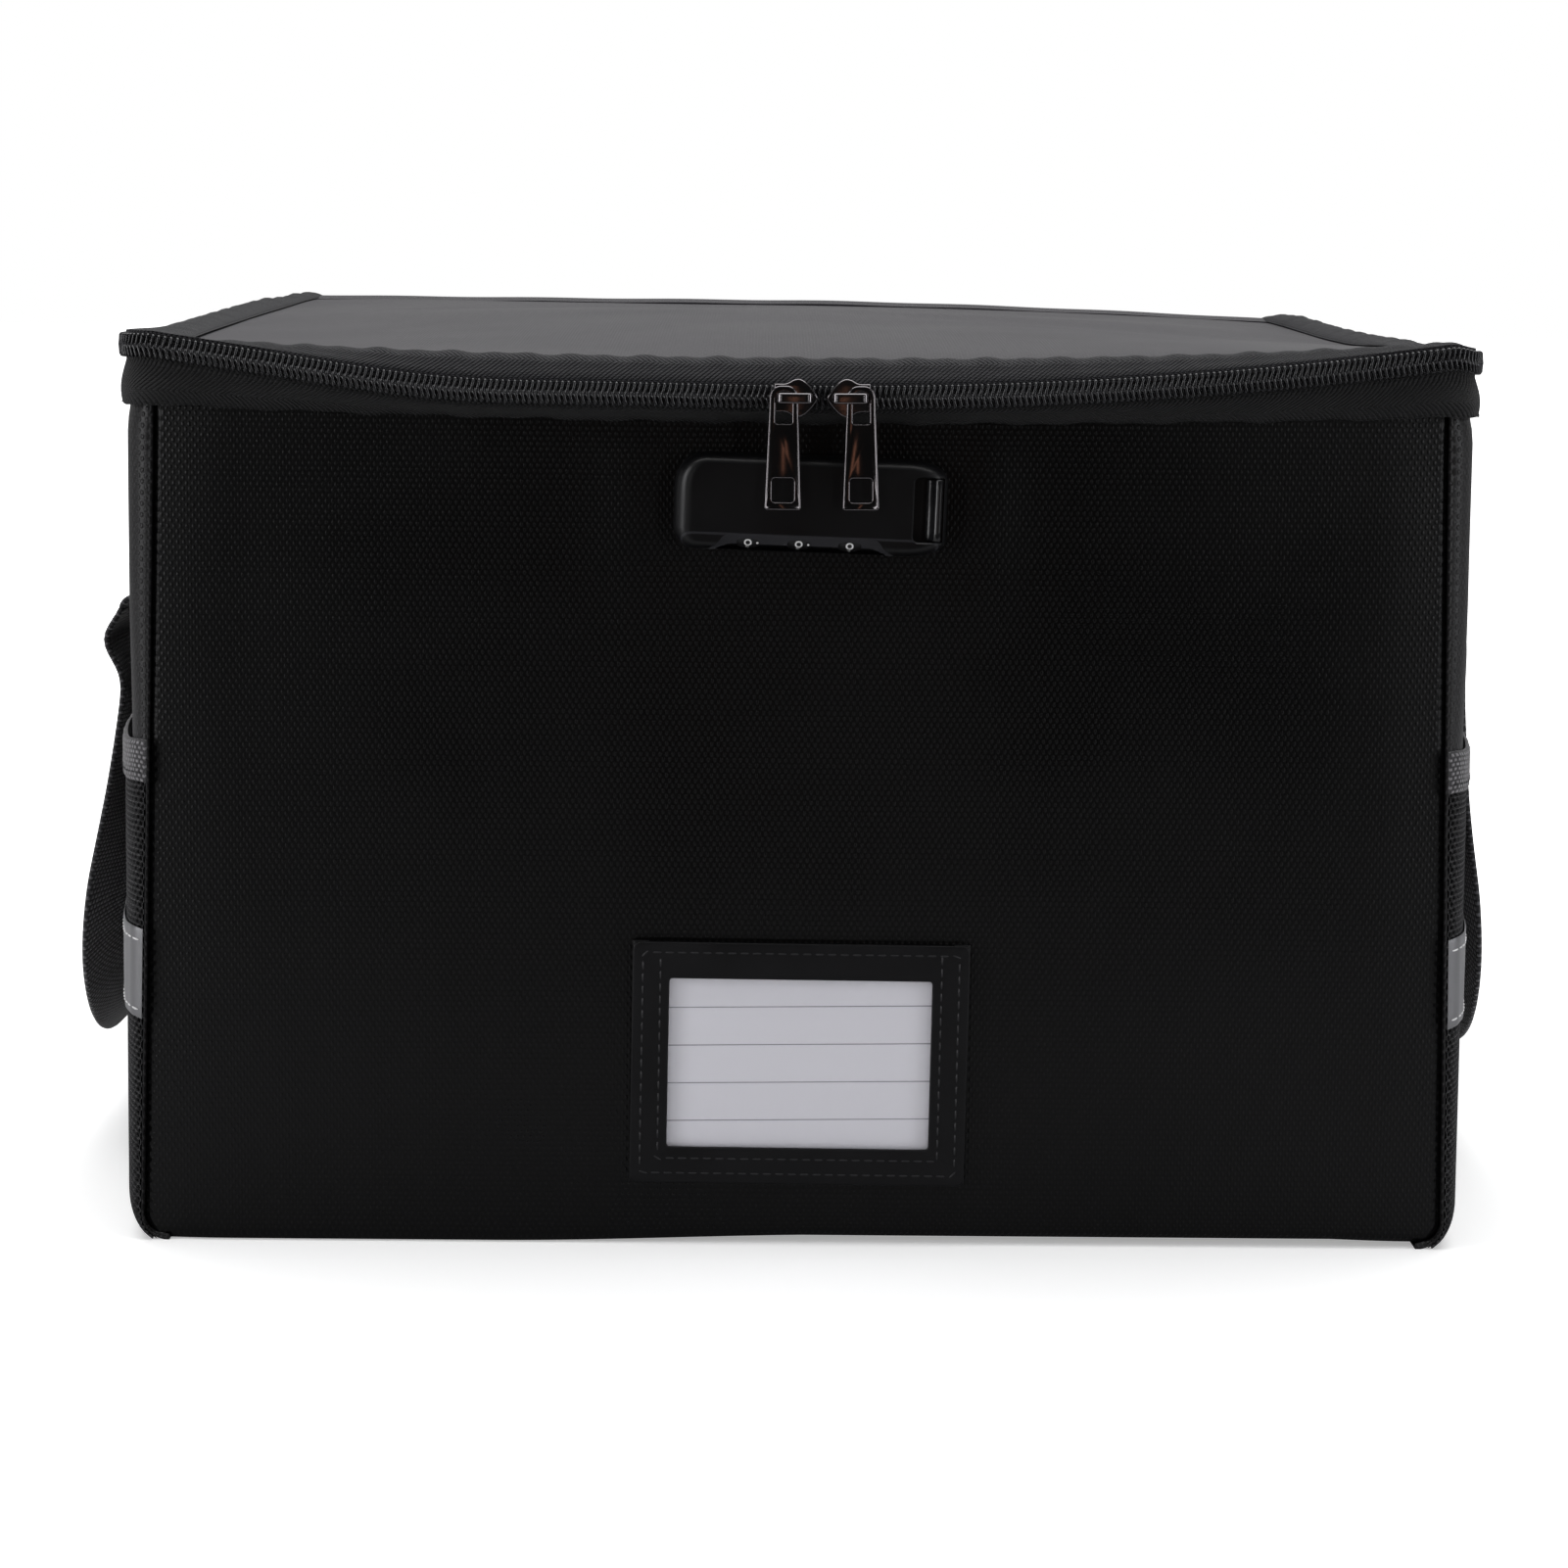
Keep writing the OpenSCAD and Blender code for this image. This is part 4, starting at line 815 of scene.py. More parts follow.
# ---- lid ----
def lidGrid(edge, drop, nu, na):
    u = np.linspace(-1, 1, nu) * (1 - edge / halfW)
    a = np.radians(np.linspace(-89, 89, na) * (1 - edge / 40))
    U, A = np.meshgrid(u, a, indexing="ij")
    t = unit(rimTangent(np.clip(A, rad(-89.5), rad(89.5)), rad(0.2)))
    inset = lid["band"] + 2 * body["ply"]
    fade = (0.5 - 0.5 * np.sin(A)) ** 4 * sagAt(U * body["topW"] / 2)
    x = U * (rimX(A) - t[..., 1] * inset)
    y = halfD * np.sin(A) - np.sign(A) * np.abs(t[..., 0]) * inset - lid["bow"] * fade
    z = lidSideZ(halfD * np.sin(A)) - lid["dip"] * fade - hangAt(x, y)
    return xyz(x, y, z - drop), U, A


def makeLid():
    P, U, A = lidGrid(0, 0, 121, 81)
    x, y = P[..., 0], P[..., 1]
    edge = np.minimum((1 - np.abs(U)) * 190, (rad(89) - np.abs(A)) * 90)
    swell = 0.55 * wave(x, y, 31, 52) + 1.0 * bell(y - 0.18 * x, 45, 26)
    P[..., 2] += swell * smooth(edge / 40) - 0.5 * nearEdge(edge, 3) ** 2
    # the lid's cloth, and the hinge's, use the painted-light copy of the coated cloth
    sheetPiece("lidClothPaintedLight", P, (0, 0, -1.0), x, y, "lidClothPaintedLight", "lid", "lid_cloth", "lid_panel")
    for name, low, thick, slot in (("lidBoard", body["skin"] + body["ply"], body["board"], "board"),
                                   ("lidLining", liningIn, body["lining"], "lining")):
        P = lidGrid(2, low, 61, 41)[0]
        sheetPiece(name, P, (0, 0, -thick), P[..., 0], P[..., 1], slot, "lid", slot, "lid_" + slot)


def makeHinge():
    r, leaf, t = 4, 12, 0.8
    cy, cz = halfD + body["ply"] + t - r, lid["rearZ"] + body["ply"] + t - r
    path = np.array([(cy + r, cz - leaf + i) for i in range(leaf)]
                    + [(cy + r * math.cos(q), cz + r * math.sin(q)) for q in np.radians(np.linspace(0, 90, 13))]
                    + [(cy - i, cz + r) for i in range(1, leaf + 1)])
    d = unit(np.gradient(path, axis=0))
    x = np.linspace(-body["topW"] / 2 + 2, body["topW"] / 2 - 2, 60)
    X, I = np.meshgrid(x, np.arange(len(path)), indexing="ij")
    outward = xyz(0 * X, d[I, 1], -d[I, 0])
    # its front edge is sunk in the lid's cloth
    rise = 0.12 * np.sin(X / 9) - 1.4 * smooth((I - (len(path) - 8)) / 7)
    P = xyz(X, path[I, 0], path[I, 1] - hangAt(X, halfD)) + outward * rise[..., None]
    obj = closedSheet("hingeCloth", P, P - outward * 0.7, X, I * 1.0, "lidClothPaintedLight")
    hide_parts("hinge_strip")
    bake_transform(obj)


makeLid()
makeHinge()
print("lid")


# ---- hardware helpers: outlines lie in the X-Z plane ----
def insetLoop(pts, d):
    # moves a closed outline to its left side
    pts = np.asarray(pts, float)
    e = unit(np.roll(pts, -1, 0) - pts)
    n = np.stack([-e[:, 1], e[:, 0]], -1)
    before = np.roll(n, 1, 0)
    return pts + (n + before) / np.maximum(1 + np.sum(n * before, -1, keepdims=True), 0.35) * d


def roundedLoop(corners, n=8):
    # corners: (x, z, radius), given anticlockwise
    pts = []
    c = np.array([p[:2] for p in corners], float)
    for i, (x, z, r) in enumerate(corners):
        a, b = unit(c[i - 1] - c[i]), unit(c[(i + 1) % len(c)] - c[i])
        if r <= 0:
            pts.append(c[i])
            continue
        half = math.acos(np.clip(np.dot(a, b), -1, 1)) / 2
        centre = c[i] + unit(a + b) * r / math.sin(half)
        w0, w1 = (math.atan2(*(c[i] + way * r / math.tan(half) - centre)[::-1]) for way in (a, b))
        turn = (w1 - w0 + math.pi) % (2 * math.pi) - math.pi
        angles = w0 + turn * np.linspace(0, 1, n)
        pts += list(centre + r * np.stack([np.cos(angles), np.sin(angles)], -1))
    return np.array(pts)


def roundedBox(x0, z0, x1, z1, low, n, high=None):
    # rectangle with one radius at its lower corners and another at its upper ones
    high = low if high is None else high
    return roundedLoop([(x0, z0, low), (x1, z0, low), (x1, z1, high), (x0, z1, high)], n)


def smoothLoop(pts, n):
    # closed curve through points
    p1 = np.asarray(pts, float)
    p0, p2, p3 = np.roll(p1, 1, 0), np.roll(p1, -1, 0), np.roll(p1, -2, 0)
    t = np.linspace(0, 1, n, endpoint=False)[None, :, None]
    p0, p1, p2, p3 = (p[:, None] for p in (p0, p1, p2, p3))
    curve = 0.5 * (2 * p1 + (p2 - p0) * t + (2 * p0 - 5 * p1 + 4 * p2 - p3) * t * t + (3 * p1 - p0 - 3 * p2 + p3) * t ** 3)
    return curve.reshape(-1, 2)


def stackedLoops(outline, ring):
    return [(x, y, z) for d, y in ring for x, z in insetLoop(outline, d)]


def plate(outlines, front, back, bevel, steps=3):
    # flat part; the first outline runs anticlockwise, holes clockwise
    quarter = np.linspace(0, math.pi / 2, steps + 1)
    ring = [(bevel * (1 - math.sin(t)), front + bevel * (1 - math.cos(t))) for t in quarter]
    ring += [(bevel * (1 - math.cos(t)), back - bevel * (1 - math.sin(t))) for t in quarter]
    verts, faces, caps = [], [], ([], [])
    for outline in outlines:
        start, count = len(verts), len(outline)
        verts += stackedLoops(outline, ring)
        faces += ringFaces(len(ring), count, start, capped=False)
        caps[0].append(list(range(start, start + count)))
        caps[1].append(list(range(len(verts) - count, len(verts))))
    for loops, way in zip(caps, (1, -1)):
        ids = [i for loop in loops for i in loop]
        flat = [[Vector((verts[i][0], verts[i][2], 0)) for i in loop] for loop in loops]
        faces += [tuple(ids[t] for t in tri)[::way] for tri in tessellate_polygon(flat)]
    return np.array(verts), faces


def loft(outline, ring):
    # solid from one outline, inset and moved for each ring, closed at both ends
    return np.array(stackedLoops(outline, ring)), ringFaces(len(ring), len(outline))


def joined(*parts):
    verts, faces, start = [], [], 0
    for v, f in parts:
        verts.append(np.asarray(v, float))
        faces += [tuple(i + start for i in face) for face in f]
        start += len(v)
    return np.concatenate(verts), faces


def boxPart(lo, hi):
    x, y, z = zip(lo, hi)
    verts = [(x[i], y[j], z[k]) for i in (0, 1) for j in (0, 1) for k in (0, 1)]
    return np.array(verts, float), [(0, 1, 3, 2), (4, 6, 7, 5), (0, 4, 5, 1), (2, 3, 7, 6), (0, 2, 6, 4), (1, 5, 7, 3)]


def lathe(profile, y, z, n=48):
    # closed profile of (x, r) turned about an axis along X
    ang = np.linspace(0, 2 * math.pi, n, endpoint=False)
    verts = [(px, y + r * math.cos(t), z + r * math.sin(t)) for t in ang for px, r in profile]
    return np.array(verts), ringFaces(n, len(profile), closed=True)


def bend(points, radius, n):
    # open path with rounded corners
    points = np.array(points, float)
    pts = [points[0]]
    for a, b, c in zip(points, points[1:], points[2:]):
        p, q = b + unit(a - b) * radius, b + unit(c - b) * radius
        pts += [(1 - t) ** 2 * p + 2 * t * (1 - t) * b + t * t * q for t in np.linspace(0, 1, n)]
    return np.array(pts + [points[-1]])


# ---- sliders and pulls ----
arcMid = np.array([0, -halfD - zipRun["proud"] - zipRun["bow"], zipRun["z"] - zipRun["sag"]])
arcAxis = Vector((0, -zipRun["sag"], zipRun["bow"])) / zipDrop
arcCentre = arcMid + zipR / zipDrop * np.array([0, zipRun["bow"], zipRun["sag"]])


def onZip(points, x, flip):
    p = sided(not flip, points)[0] + arcMid - arcCentre
    turn = Matrix.Rotation(math.asin(x / zipR), 3, arcAxis)
    return p @ np.array(turn).T + arcCentre


slider = {"halfL": 6.35, "front": -4.0, "t": 1.3, "back": 1.7, "halfBack": 3.0, "foot": 3.5, "crown": 3.1}
pull = {"front": -7.2, "back": -5.7, "top": 3.5, "l": 32, "halfTop": 4.05, "halfTip": 5.3}


def makeSlider(side, x, flip):
    upper = [(-6.35, 0), (-6.3, 2.2), (-6.25, 3.7), (-5.9, 3.98), (-4.6, 4.0), (-3.2, 4.05), (-2.1, 4.4), (-0.9, 5.1),
             (0.2, 5.42), (1.2, 5.36), (2.6, 4.6), (4.0, 3.3), (5.1, 1.95), (5.9, 0.75)]
    shape = upper + [(6.2, 0)] + [(a, -b) for a, b in upper[:0:-1]]
    y, w, h = slider["front"] - slider["t"], slider["halfL"], slider["halfBack"]
    face = plate([smoothLoop(shape[::-1], 5)], y, slider["front"], 0.42, 4)
    back = plate([roundedBox(-w, -h, w, h, 2, 8)], slider["back"], slider["back"] + slider["t"], 0.3)
    web = boxPart((-4.35, slider["front"] - 0.1, -0.25), (4.35, slider["back"] + 0.1, 0.25))
    x0, x1, root, top = -slider["foot"] - 1.3, slider["foot"] + 0.5, y + 0.3, y - slider["crown"]
    path = bend([(x0, root), (x0, top), (x1, top), (x1, root)], 1.1, 7)
    d = unit(np.gradient(path, axis=0))[:, None]
    section = roundedBox(-0.72, -1.5, 0.72, 1.5, 0.55, 5)
    rings = xyz(path[:, None, 0] + d[..., 1] * section[:, 0], path[:, None, 1] - d[..., 0] * section[:, 0], section[:, 1])
    crown = rings.reshape(-1, 3), ringFaces(*rings.shape[:2])
    verts, faces = joined(face, back, web, crown)
    obj = addObject(side + "Slider", onZip(verts, x, flip), faces, "gunmetal", sharp=50)
    finishPiece(obj, side + "_slider", "gunmetal", side + "_slider")


def makePull(side, x, flip):
    top, tip, low, high = pull["halfTop"], pull["halfTip"], -pull["l"], pull["top"]
    outer = roundedLoop([(-tip, low, 0.8), (tip, low, 0.8), (top + 0.15, -4, 30), (top, high, 3.3), (-top, high, 3.3),
                         (-top - 0.15, -4, 30)], 9)
    eye, tipHole = roundedBox(-2.45, -7.3, 2.45, 1.9, 0.6, 8, 2.4), roundedBox(-3.2, -29.7, 3.2, -22.9, 0.9, 6)
    verts, faces = plate([outer, eye[::-1], tipHole[::-1]], pull["front"], pull["back"], 0.45, 4)
    placed = onZip(verts - np.array([slider["foot"], 0, 0]), x, flip)
    obj = addObject(side + "Pull", placed, faces, "pullMetal", verts[:, [0, 2]], 50)
    finishPiece(obj, side + "_pull", "gunmetal", side + "_pull")


for side, x, flip in (("left", -2.1, False), ("right", 12.9, True)):
    makeSlider(side, x, flip)
    makePull(side, x, flip)
print("sliders")


# ---- combination lock ----
def atLock(points):
    c, s = math.cos(rad(lock["tilt"])), math.sin(rad(lock["tilt"]))
    x, y, z = np.asarray(points, float).T
    return xyz(x * c + z * s + lock["x"], y + lock["y"], z * c - x * s + lock["z"])


def cutAway(base, cutters, name, material, sharp):
    # takes the cutters out of the base, all in lock space
    obj = addObject(name, *base, material, sharp=sharp)
    tools = []
    for i, (v, f) in enumerate(cutters):
        tool = addObject(f"{name}Cut{i}", v, f, material)
        mod = obj.modifiers.new(f"cut{i}", "BOOLEAN")
        mod.object, mod.operation, mod.solver = tool, "DIFFERENCE", "EXACT"
        tools.append(tool)
    bpy.context.view_layer.update()
    mesh = bpy.data.meshes.new_from_object(obj.evaluated_get(bpy.context.evaluated_depsgraph_get()))
    obj.modifiers.clear()
    obj.data = mesh
    for tool in tools:
        old = tool.data
        bpy.data.objects.remove(tool)
        bpy.data.meshes.remove(old)
    bm = bmesh.new()
    bm.from_mesh(mesh)
    bmesh.ops.remove_doubles(bm, verts=bm.verts, dist=1e-6)
    bm.to_mesh(mesh)
    bm.free()
    co = np.zeros(len(mesh.vertices) * 3)
    mesh.vertices.foreach_get("co", co)
    mesh.vertices.foreach_set("co", (atLock(co.reshape(-1, 3) / mm) * mm).ravel())
    mesh.update()
    mesh.set_sharp_from_angle(angle=rad(sharp))
    return obj


def caseShell():
    # corners: x, z and the two radii of each
    w, h, perCorner = lock["w"] / 2, lock["h"] / 2, 14
    corners = ((w, h, 12, 6), (-w, h, 10, 10), (-w, -h, 7, 7), (w, -h, 13, 5))
    ring = ((0, 0), (0, -6.5), (0.15, -8.2), (0.5, -9.6), (1.1, -10.8), (1.9, -11.8), (2.8, -12.5), (3.8, -12.9),
            (4.8, -13.0))
    verts = []
    for d, y in ring:
        for (cx, cz, rx, rz), base in zip(corners, (0, 90, 180, 270)):
            ox, oz = cx - math.copysign(rx, cx), cz - math.copysign(rz, cz)
            a, b = max(rx - d * 1.15, 0.5), max(rz - d * 0.6, 0.5)
            for q in np.radians(base + np.linspace(0, 90, perCorner)):
                c, s = math.cos(q), math.sin(q)
                verts.append((ox + a * math.copysign(abs(c) ** 0.92, c), y, oz + b * math.copysign(abs(s) ** 0.92, s)))
    return np.array(verts), ringFaces(len(ring), len(corners) * perCorner)


def makeLockCase():
    s = math.sqrt(0.5)

    def slopeSolid(outline, ring):
        # drawn on the sloping lip round the bay of the wheels
        v, f = loft(outline, ring)
        x, out, down = v.T
        return xyz(x + lock["wheelX"] + 0.5, -lock["t"] - s * (down + out), -9 + s * (down - out)), f

    lip = roundedLoop([(-29.5, -9.5, 0), (29.5, -9.5, 0), (26.2, -4.6, 3), (22.3, 0, 4), (-22.3, 0, 4), (-26.2, -4.6, 3)], 6)
    bay = roundedLoop([(-26.8, -9.5, 0), (26.8, -9.5, 0), (24.4, -6.4, 1.5), (20.5, -4.2, 4), (-20.5, -4.2, 4),
                       (-24.4, -6.4, 1.5)], 6)
    recess = roundedLoop([(29.7, -9.4, 1.5), (38.4, -9.4, 0.4), (38.4, 9.3, 0.4), (29.7, 9.3, 1.5)], 6)
    cutters = [slopeSolid(lip, [(0, 0), (0, 9)]),
               slopeSolid(bay, [(0.35, -3.4), (0.35, -0.5), (0, -0.12), (-0.3, 0.2), (-0.3, 3)]),
               loft(recess, [(0, -9), (0, -12.55), (-0.5, -13.1), (-0.5, -14)])]
    slot = ((-3.75, 0.2), (-3.75, 4.1), (-2.7, 4.5), (0, 4.72), (2.7, 4.5), (3.75, 4.1), (3.75, 0.2))
    for i in (-1, 0, 1):
        x = lock["wheelX"] + i * lock["pitch"]
        cutters.append(lathe([(x + a, r) for a, r in slot], lock["wheelY"], lock["wheelZ"]))
    # inside: the latch bar's bay, the ways in for the pulls' tips, the screw holes
    cutters.append(boxPart((-24.4, -5.8, 2.2), (37.0, 1, 7.8)))
    for sign in (-1, 1):
        cutters.append(boxPart((sign * 12 - 5.6, -5.8, 5), (sign * 12 + 5.6, -2.5, 15)))
        v, f = lathe([(-5.6, 0.1), (-5.6, 1.55), (0.5, 1.55), (0.5, 0.1)], 0, 0, 20)
        cutters.append((xyz(v[:, 1] + sign * 26, v[:, 0], v[:, 2] - 9.3), f))
    finishPiece(cutAway(caseShell(), cutters, "lockCase", "lock", 32), "box_body", "lock_plastic", "lock_housing")


digitStrokes = (
    [[(0.5, 1), (0.2, 0.93), (0.02, 0.7), (0.02, 0.3), (0.2, 0.07), (0.5, 0), (0.8, 0.07), (0.98, 0.3), (0.98, 0.7),
      (0.8, 0.93), (0.5, 1)]],
    [[(0.2, 0.8), (0.55, 1), (0.55, 0)]],
    [[(0.05, 0.78), (0.25, 0.98), (0.7, 0.98), (0.92, 0.75), (0.8, 0.5), (0.05, 0.02), (0.98, 0.02)]],
    [[(0.08, 0.98), (0.9, 0.98), (0.45, 0.58), (0.85, 0.48), (0.92, 0.2), (0.7, 0.02), (0.2, 0.02), (0.02, 0.18)]],
    [[(0.75, 0), (0.75, 1), (0.02, 0.3), (0.98, 0.3)]],
    [[(0.88, 0.98), (0.15, 0.98), (0.1, 0.55), (0.65, 0.6), (0.92, 0.4), (0.88, 0.15), (0.6, 0.0), (0.05, 0.08)]],
    [[(0.75, 1), (0.3, 0.75), (0.05, 0.35), (0.2, 0.05), (0.6, 0), (0.92, 0.2), (0.85, 0.48), (0.5, 0.58), (0.12, 0.42)]],
    [[(0.05, 0.98), (0.95, 0.98), (0.4, 0)]],
    [[(0.5, 0.55), (0.15, 0.72), (0.2, 0.93), (0.5, 1), (0.8, 0.93), (0.85, 0.72), (0.5, 0.55), (0.08, 0.32), (0.12, 0.08),
      (0.5, 0), (0.88, 0.08), (0.92, 0.32), (0.5, 0.55)]],
    [[(0.25, 0), (0.7, 0.25), (0.95, 0.65), (0.8, 0.95), (0.4, 1), (0.08, 0.8), (0.15, 0.52), (0.5, 0.42), (0.88, 0.58)]])


def onWheel(x, up, lift, n):
    # a place on a wheel, up from the middle of its digit n
    r = lock["wheelR"]
    angle = rad(lock["digitAngle"] + 36 * n) - up / r
    return x, lock["wheelY"] + (r + lift) * math.cos(angle), lock["wheelZ"] + (r + lift) * math.sin(angle)


def makeWheels():
    r, half, proud, sunk = lock["wheelR"], lock["wheelW"] / 2, 0.05, -0.1
    digitW, digitH, penHalf, dotR, dotX = 1.8, 2.1, 0.24, 0.36, 2.75
    rightHalf = [(0, r), (1.6, 4.49), (2.5, 4.3), (3.1, 4.0), (half, 3.7), (half, 1.56)]
    profile = [(-a, b) for a, b in rightHalf[:0:-1]] + rightHalf
    for i, side in zip((-1, 0, 1), ("left", "middle", "right")):
        x0 = lock["wheelX"] + i * lock["pitch"]
        verts, faces = lathe([(x0 + a, b) for a, b in profile], lock["wheelY"], lock["wheelZ"], 80)
        obj = addObject(side + "Wheel", atLock(verts), faces, "dial")
        finishPiece(obj, "dial_" + side, "dial_plastic", "dial_" + side)
        verts, faces = [], []
        for n, strokes in enumerate(digitStrokes):
            for line in strokes:
                line = np.array([(x0 + (a - 0.5) * digitW, (b - 0.5) * digitH) for a, b in line])
                d = np.gradient(line, axis=0)
                if np.allclose(line[0], line[-1]):
                    d[0] = d[-1] = line[1] - line[-2]
                d = unit(d) * penHalf
                faces += ringFaces(len(line), 4, len(verts))
                for (x, up), (dx, dup) in zip(line, d):
                    verts += [onWheel(x - way * dup, up + way * dx, lift, n)
                              for way, lift in ((1, proud), (-1, proud), (-1, sunk), (1, sunk))]
        if side != "right":
            faces += ringFaces(2, 12, len(verts))
            verts += [onWheel(x0 + dotX + dotR * math.cos(q), dotR * math.sin(q), lift, 0)
                      for lift in (proud, sunk) for q in np.linspace(0, 2 * math.pi, 12, endpoint=False)]
        finishPiece(addObject(side + "Digits", atLock(verts), faces, "digits"), "dial_" + side, "dial_plastic")


def makeButton():
    # upright ridge with a hollow flank, drawn in at its two ends
    ridge = ((33.3, -9.4), (33.3, -10.6), (34.0, -10.9), (34.9, -11.6), (35.5, -12.6), (36.1, -13.35), (36.9, -13.6),
             (37.5, -13.35), (37.8, -12.6), (37.8, -9.4))
    ends = ((-9.05, 0.82), (-8.9, 0.93), (-8.5, 1), (-6, 1), (0, 1), (6, 1), (8.5, 1), (8.9, 0.93), (9.05, 0.82))
    verts = [(x, -9.4 + (y + 9.4) * k, z) for z, k in ends for x, y in ridge]
    obj = addObject("releaseButton", atLock(verts), ringFaces(len(ends), len(ridge)), "gloss", sharp=45)
    finishPiece(obj, "release", "lock_gloss", "release_button")


makeLockCase()
makeWheels()
makeButton()
for name in ("lock_axle", "latch_bar", "lock_spring", "lock_back_plate", "lock_screws"):
    paintNode(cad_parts[name], "steel")
print("lock")


# ---- label holder ----
label = {"x": 1.1, "y": -160.3, "z": 19.3, "w": 100, "h": 73, "front": -2.8, "mid": -1.4, "stitchIn": 3.1}


def atLabel(points):
    # it is sewn on a little out of square
    p = np.asarray(points, float)
    x, y, z = p[..., 0], p[..., 1], p[..., 2]
    return xyz(x + label["x"] + 0.012 * (z - 36), y + label["y"], z + label["z"] - 0.006 * x)


def makeLabel():
    w, h, inset, front = label["w"] / 2, label["h"], label["stitchIn"], label["front"]
    face = plate([roundedBox(-w, 0, w, h, 2.2, 6), roundedBox(-39, 11, 39, 62, 1, 5)[::-1]], front, label["mid"], 0.55, 4)
    pocketShape = np.array([(-w, 0), (w, 0), (w, h), (45.3, h), (45.3, 9), (-45.3, 9), (-45.3, h), (-w, h)])
    verts, faces = joined(face, plate([pocketShape], label["mid"], -0.02, 0.2, 1))
    obj = addObject("labelFrame", atLabel(verts), faces, "leather", sharp=45)
    finishPiece(obj, "box_body", "label_leather", "label_frame")
    ring = roundedBox(-w + inset, inset, w - inset, h - inset, 1.5, 4)
    rows = [np.concatenate([ring, ring[:1]]), np.array([(-41.7, h - 4.4), (-41.7, 7.6), (41.7, 7.6), (41.7, h - 4.4)])]
    centres, alongs = alongPaths([xyz(row[:, 0], front + 0.02, row[:, 1]) for row in rows], 3.7)
    outs = [np.array([0, -1.0, 0])] * len(centres)
    obj = stitchRow("labelStitches", atLabel(centres), alongs, outs, 3.1, 0.3, "blackThread")
    finishPiece(obj, "box_body", "label_leather")
    verts, faces = plate([roundedBox(-45, 9.3, 45, 63.3, 0.6, 3)], -0.7, -0.3, 0.08, 1)
    uvs = np.stack([verts[:, 0], verts[:, 2] - 2.1 - 0.02 * verts[:, 0]], -1)
    finishPiece(addObject("ruledCard", atLabel(verts), faces, "card", uvs), "card", "card", "label_card")
    x, z = np.meshgrid(np.linspace(-42, 42, 61), np.linspace(9.5, 63.5, 41), indexing="ij")
    film = atLabel(xyz(x, np.minimum(-1.12 + 0.10 * wave(x, z, 41, 14), -1.0) - 0.12, z))
    sheetPiece("labelFilm", film, (0, 0.1, 0), x, z, "film", "box_body", "label_film", "label_window")


makeLabel()
print("label")


# ---- mesh pockets ----
pocket = {"z": 155, "gape": 5, "bindLow": 143.0, "bindHigh": 155.0, "stripLow": 75.0, "stripHigh": 101.0}


def pocketAt(z, a, out=0.0):
    # point and outward direction on the pocket's mesh plane; z runs down past the lower bend
    z = z - 3.0 * smooth((1.55 - np.abs(a)) / 0.5) * smooth(z / 60)
    bendZ = body["gussetR"]
    k = np.where(z >= bendZ, (body["seamZ"] - z) / (body["seamZ"] - bendZ), 1 + (bendZ - z) / 28.3)
    N = sideNormals(k, a)
    gape = pocket["gape"] * np.cos(a) ** 2 * (1 - nearEdge(z, pocket["z"]) ** 2)
    return sideFace(k, a) + N * (gape + 1.5 + out)[..., None], N


def pocketRun(a):
    return runLength(pocketAt(0 * a + 90.0, a, 0 * a)[0])


def pocketSheet(name, zs, reach, count, outer, inner, material, right):
    a = np.radians(np.linspace(-reach, reach, count))
    Z, A = np.meshgrid(zs, a, indexing="ij")
    P, Q = sided(right, pocketAt(Z, A, outer(Z, A))[0], pocketAt(Z, A, 0 * Z + inner)[0])
    return closedSheet(name, P, Q, pocketRun(a), Z, material)


def makeMesh(side, right):
    # hexagon lattice: thin walls round each hole, with the hole's rim set back
    px, pz, top, low = 2.45, 1.95, 143.6, -2.0
    a = np.radians(np.linspace(-88.4, 88.4, 500))
    run = pocketRun(a)
    total, rowGap = run[-1], pz * 0.86
    sx = total / int(total / px)
    hexRing = [(math.cos(q), math.sin(q)) for q in np.radians([90, 150, 210, 270, 330, 30])]
    verts, faces = [], []
    for j in range(int((top - low) / rowGap)):
        z0 = top - 1.0 - j * rowGap
        for i in range(int(total / px)):
            s0 = (i + (0.5 if j % 2 else 0)) * sx + 0.3
            if s0 > total - 0.2:
                continue
            faces += ringFaces(4, 6, len(verts), capped=False)
            verts += [(s0 + hx * scale * sx * 0.577, z0 + hz * scale * pz * 0.575, lift)
                      for scale, lift in ((1.0, 0.0), (0.86, 0.30), (0.70, 0.0), (0.70, -0.5)) for hx, hz in hexRing]
    v = np.array(verts)
    P = sided(right, pocketAt(v[:, 1], np.interp(v[:, 0], run, a), v[:, 2] - 0.55)[0])[0]
    obj = addObject(side + "PocketMesh", P, faces, "mesh", v[:, :2], 60)
    finishPiece(obj, "box_body", "mesh", side + "_mesh_pocket")


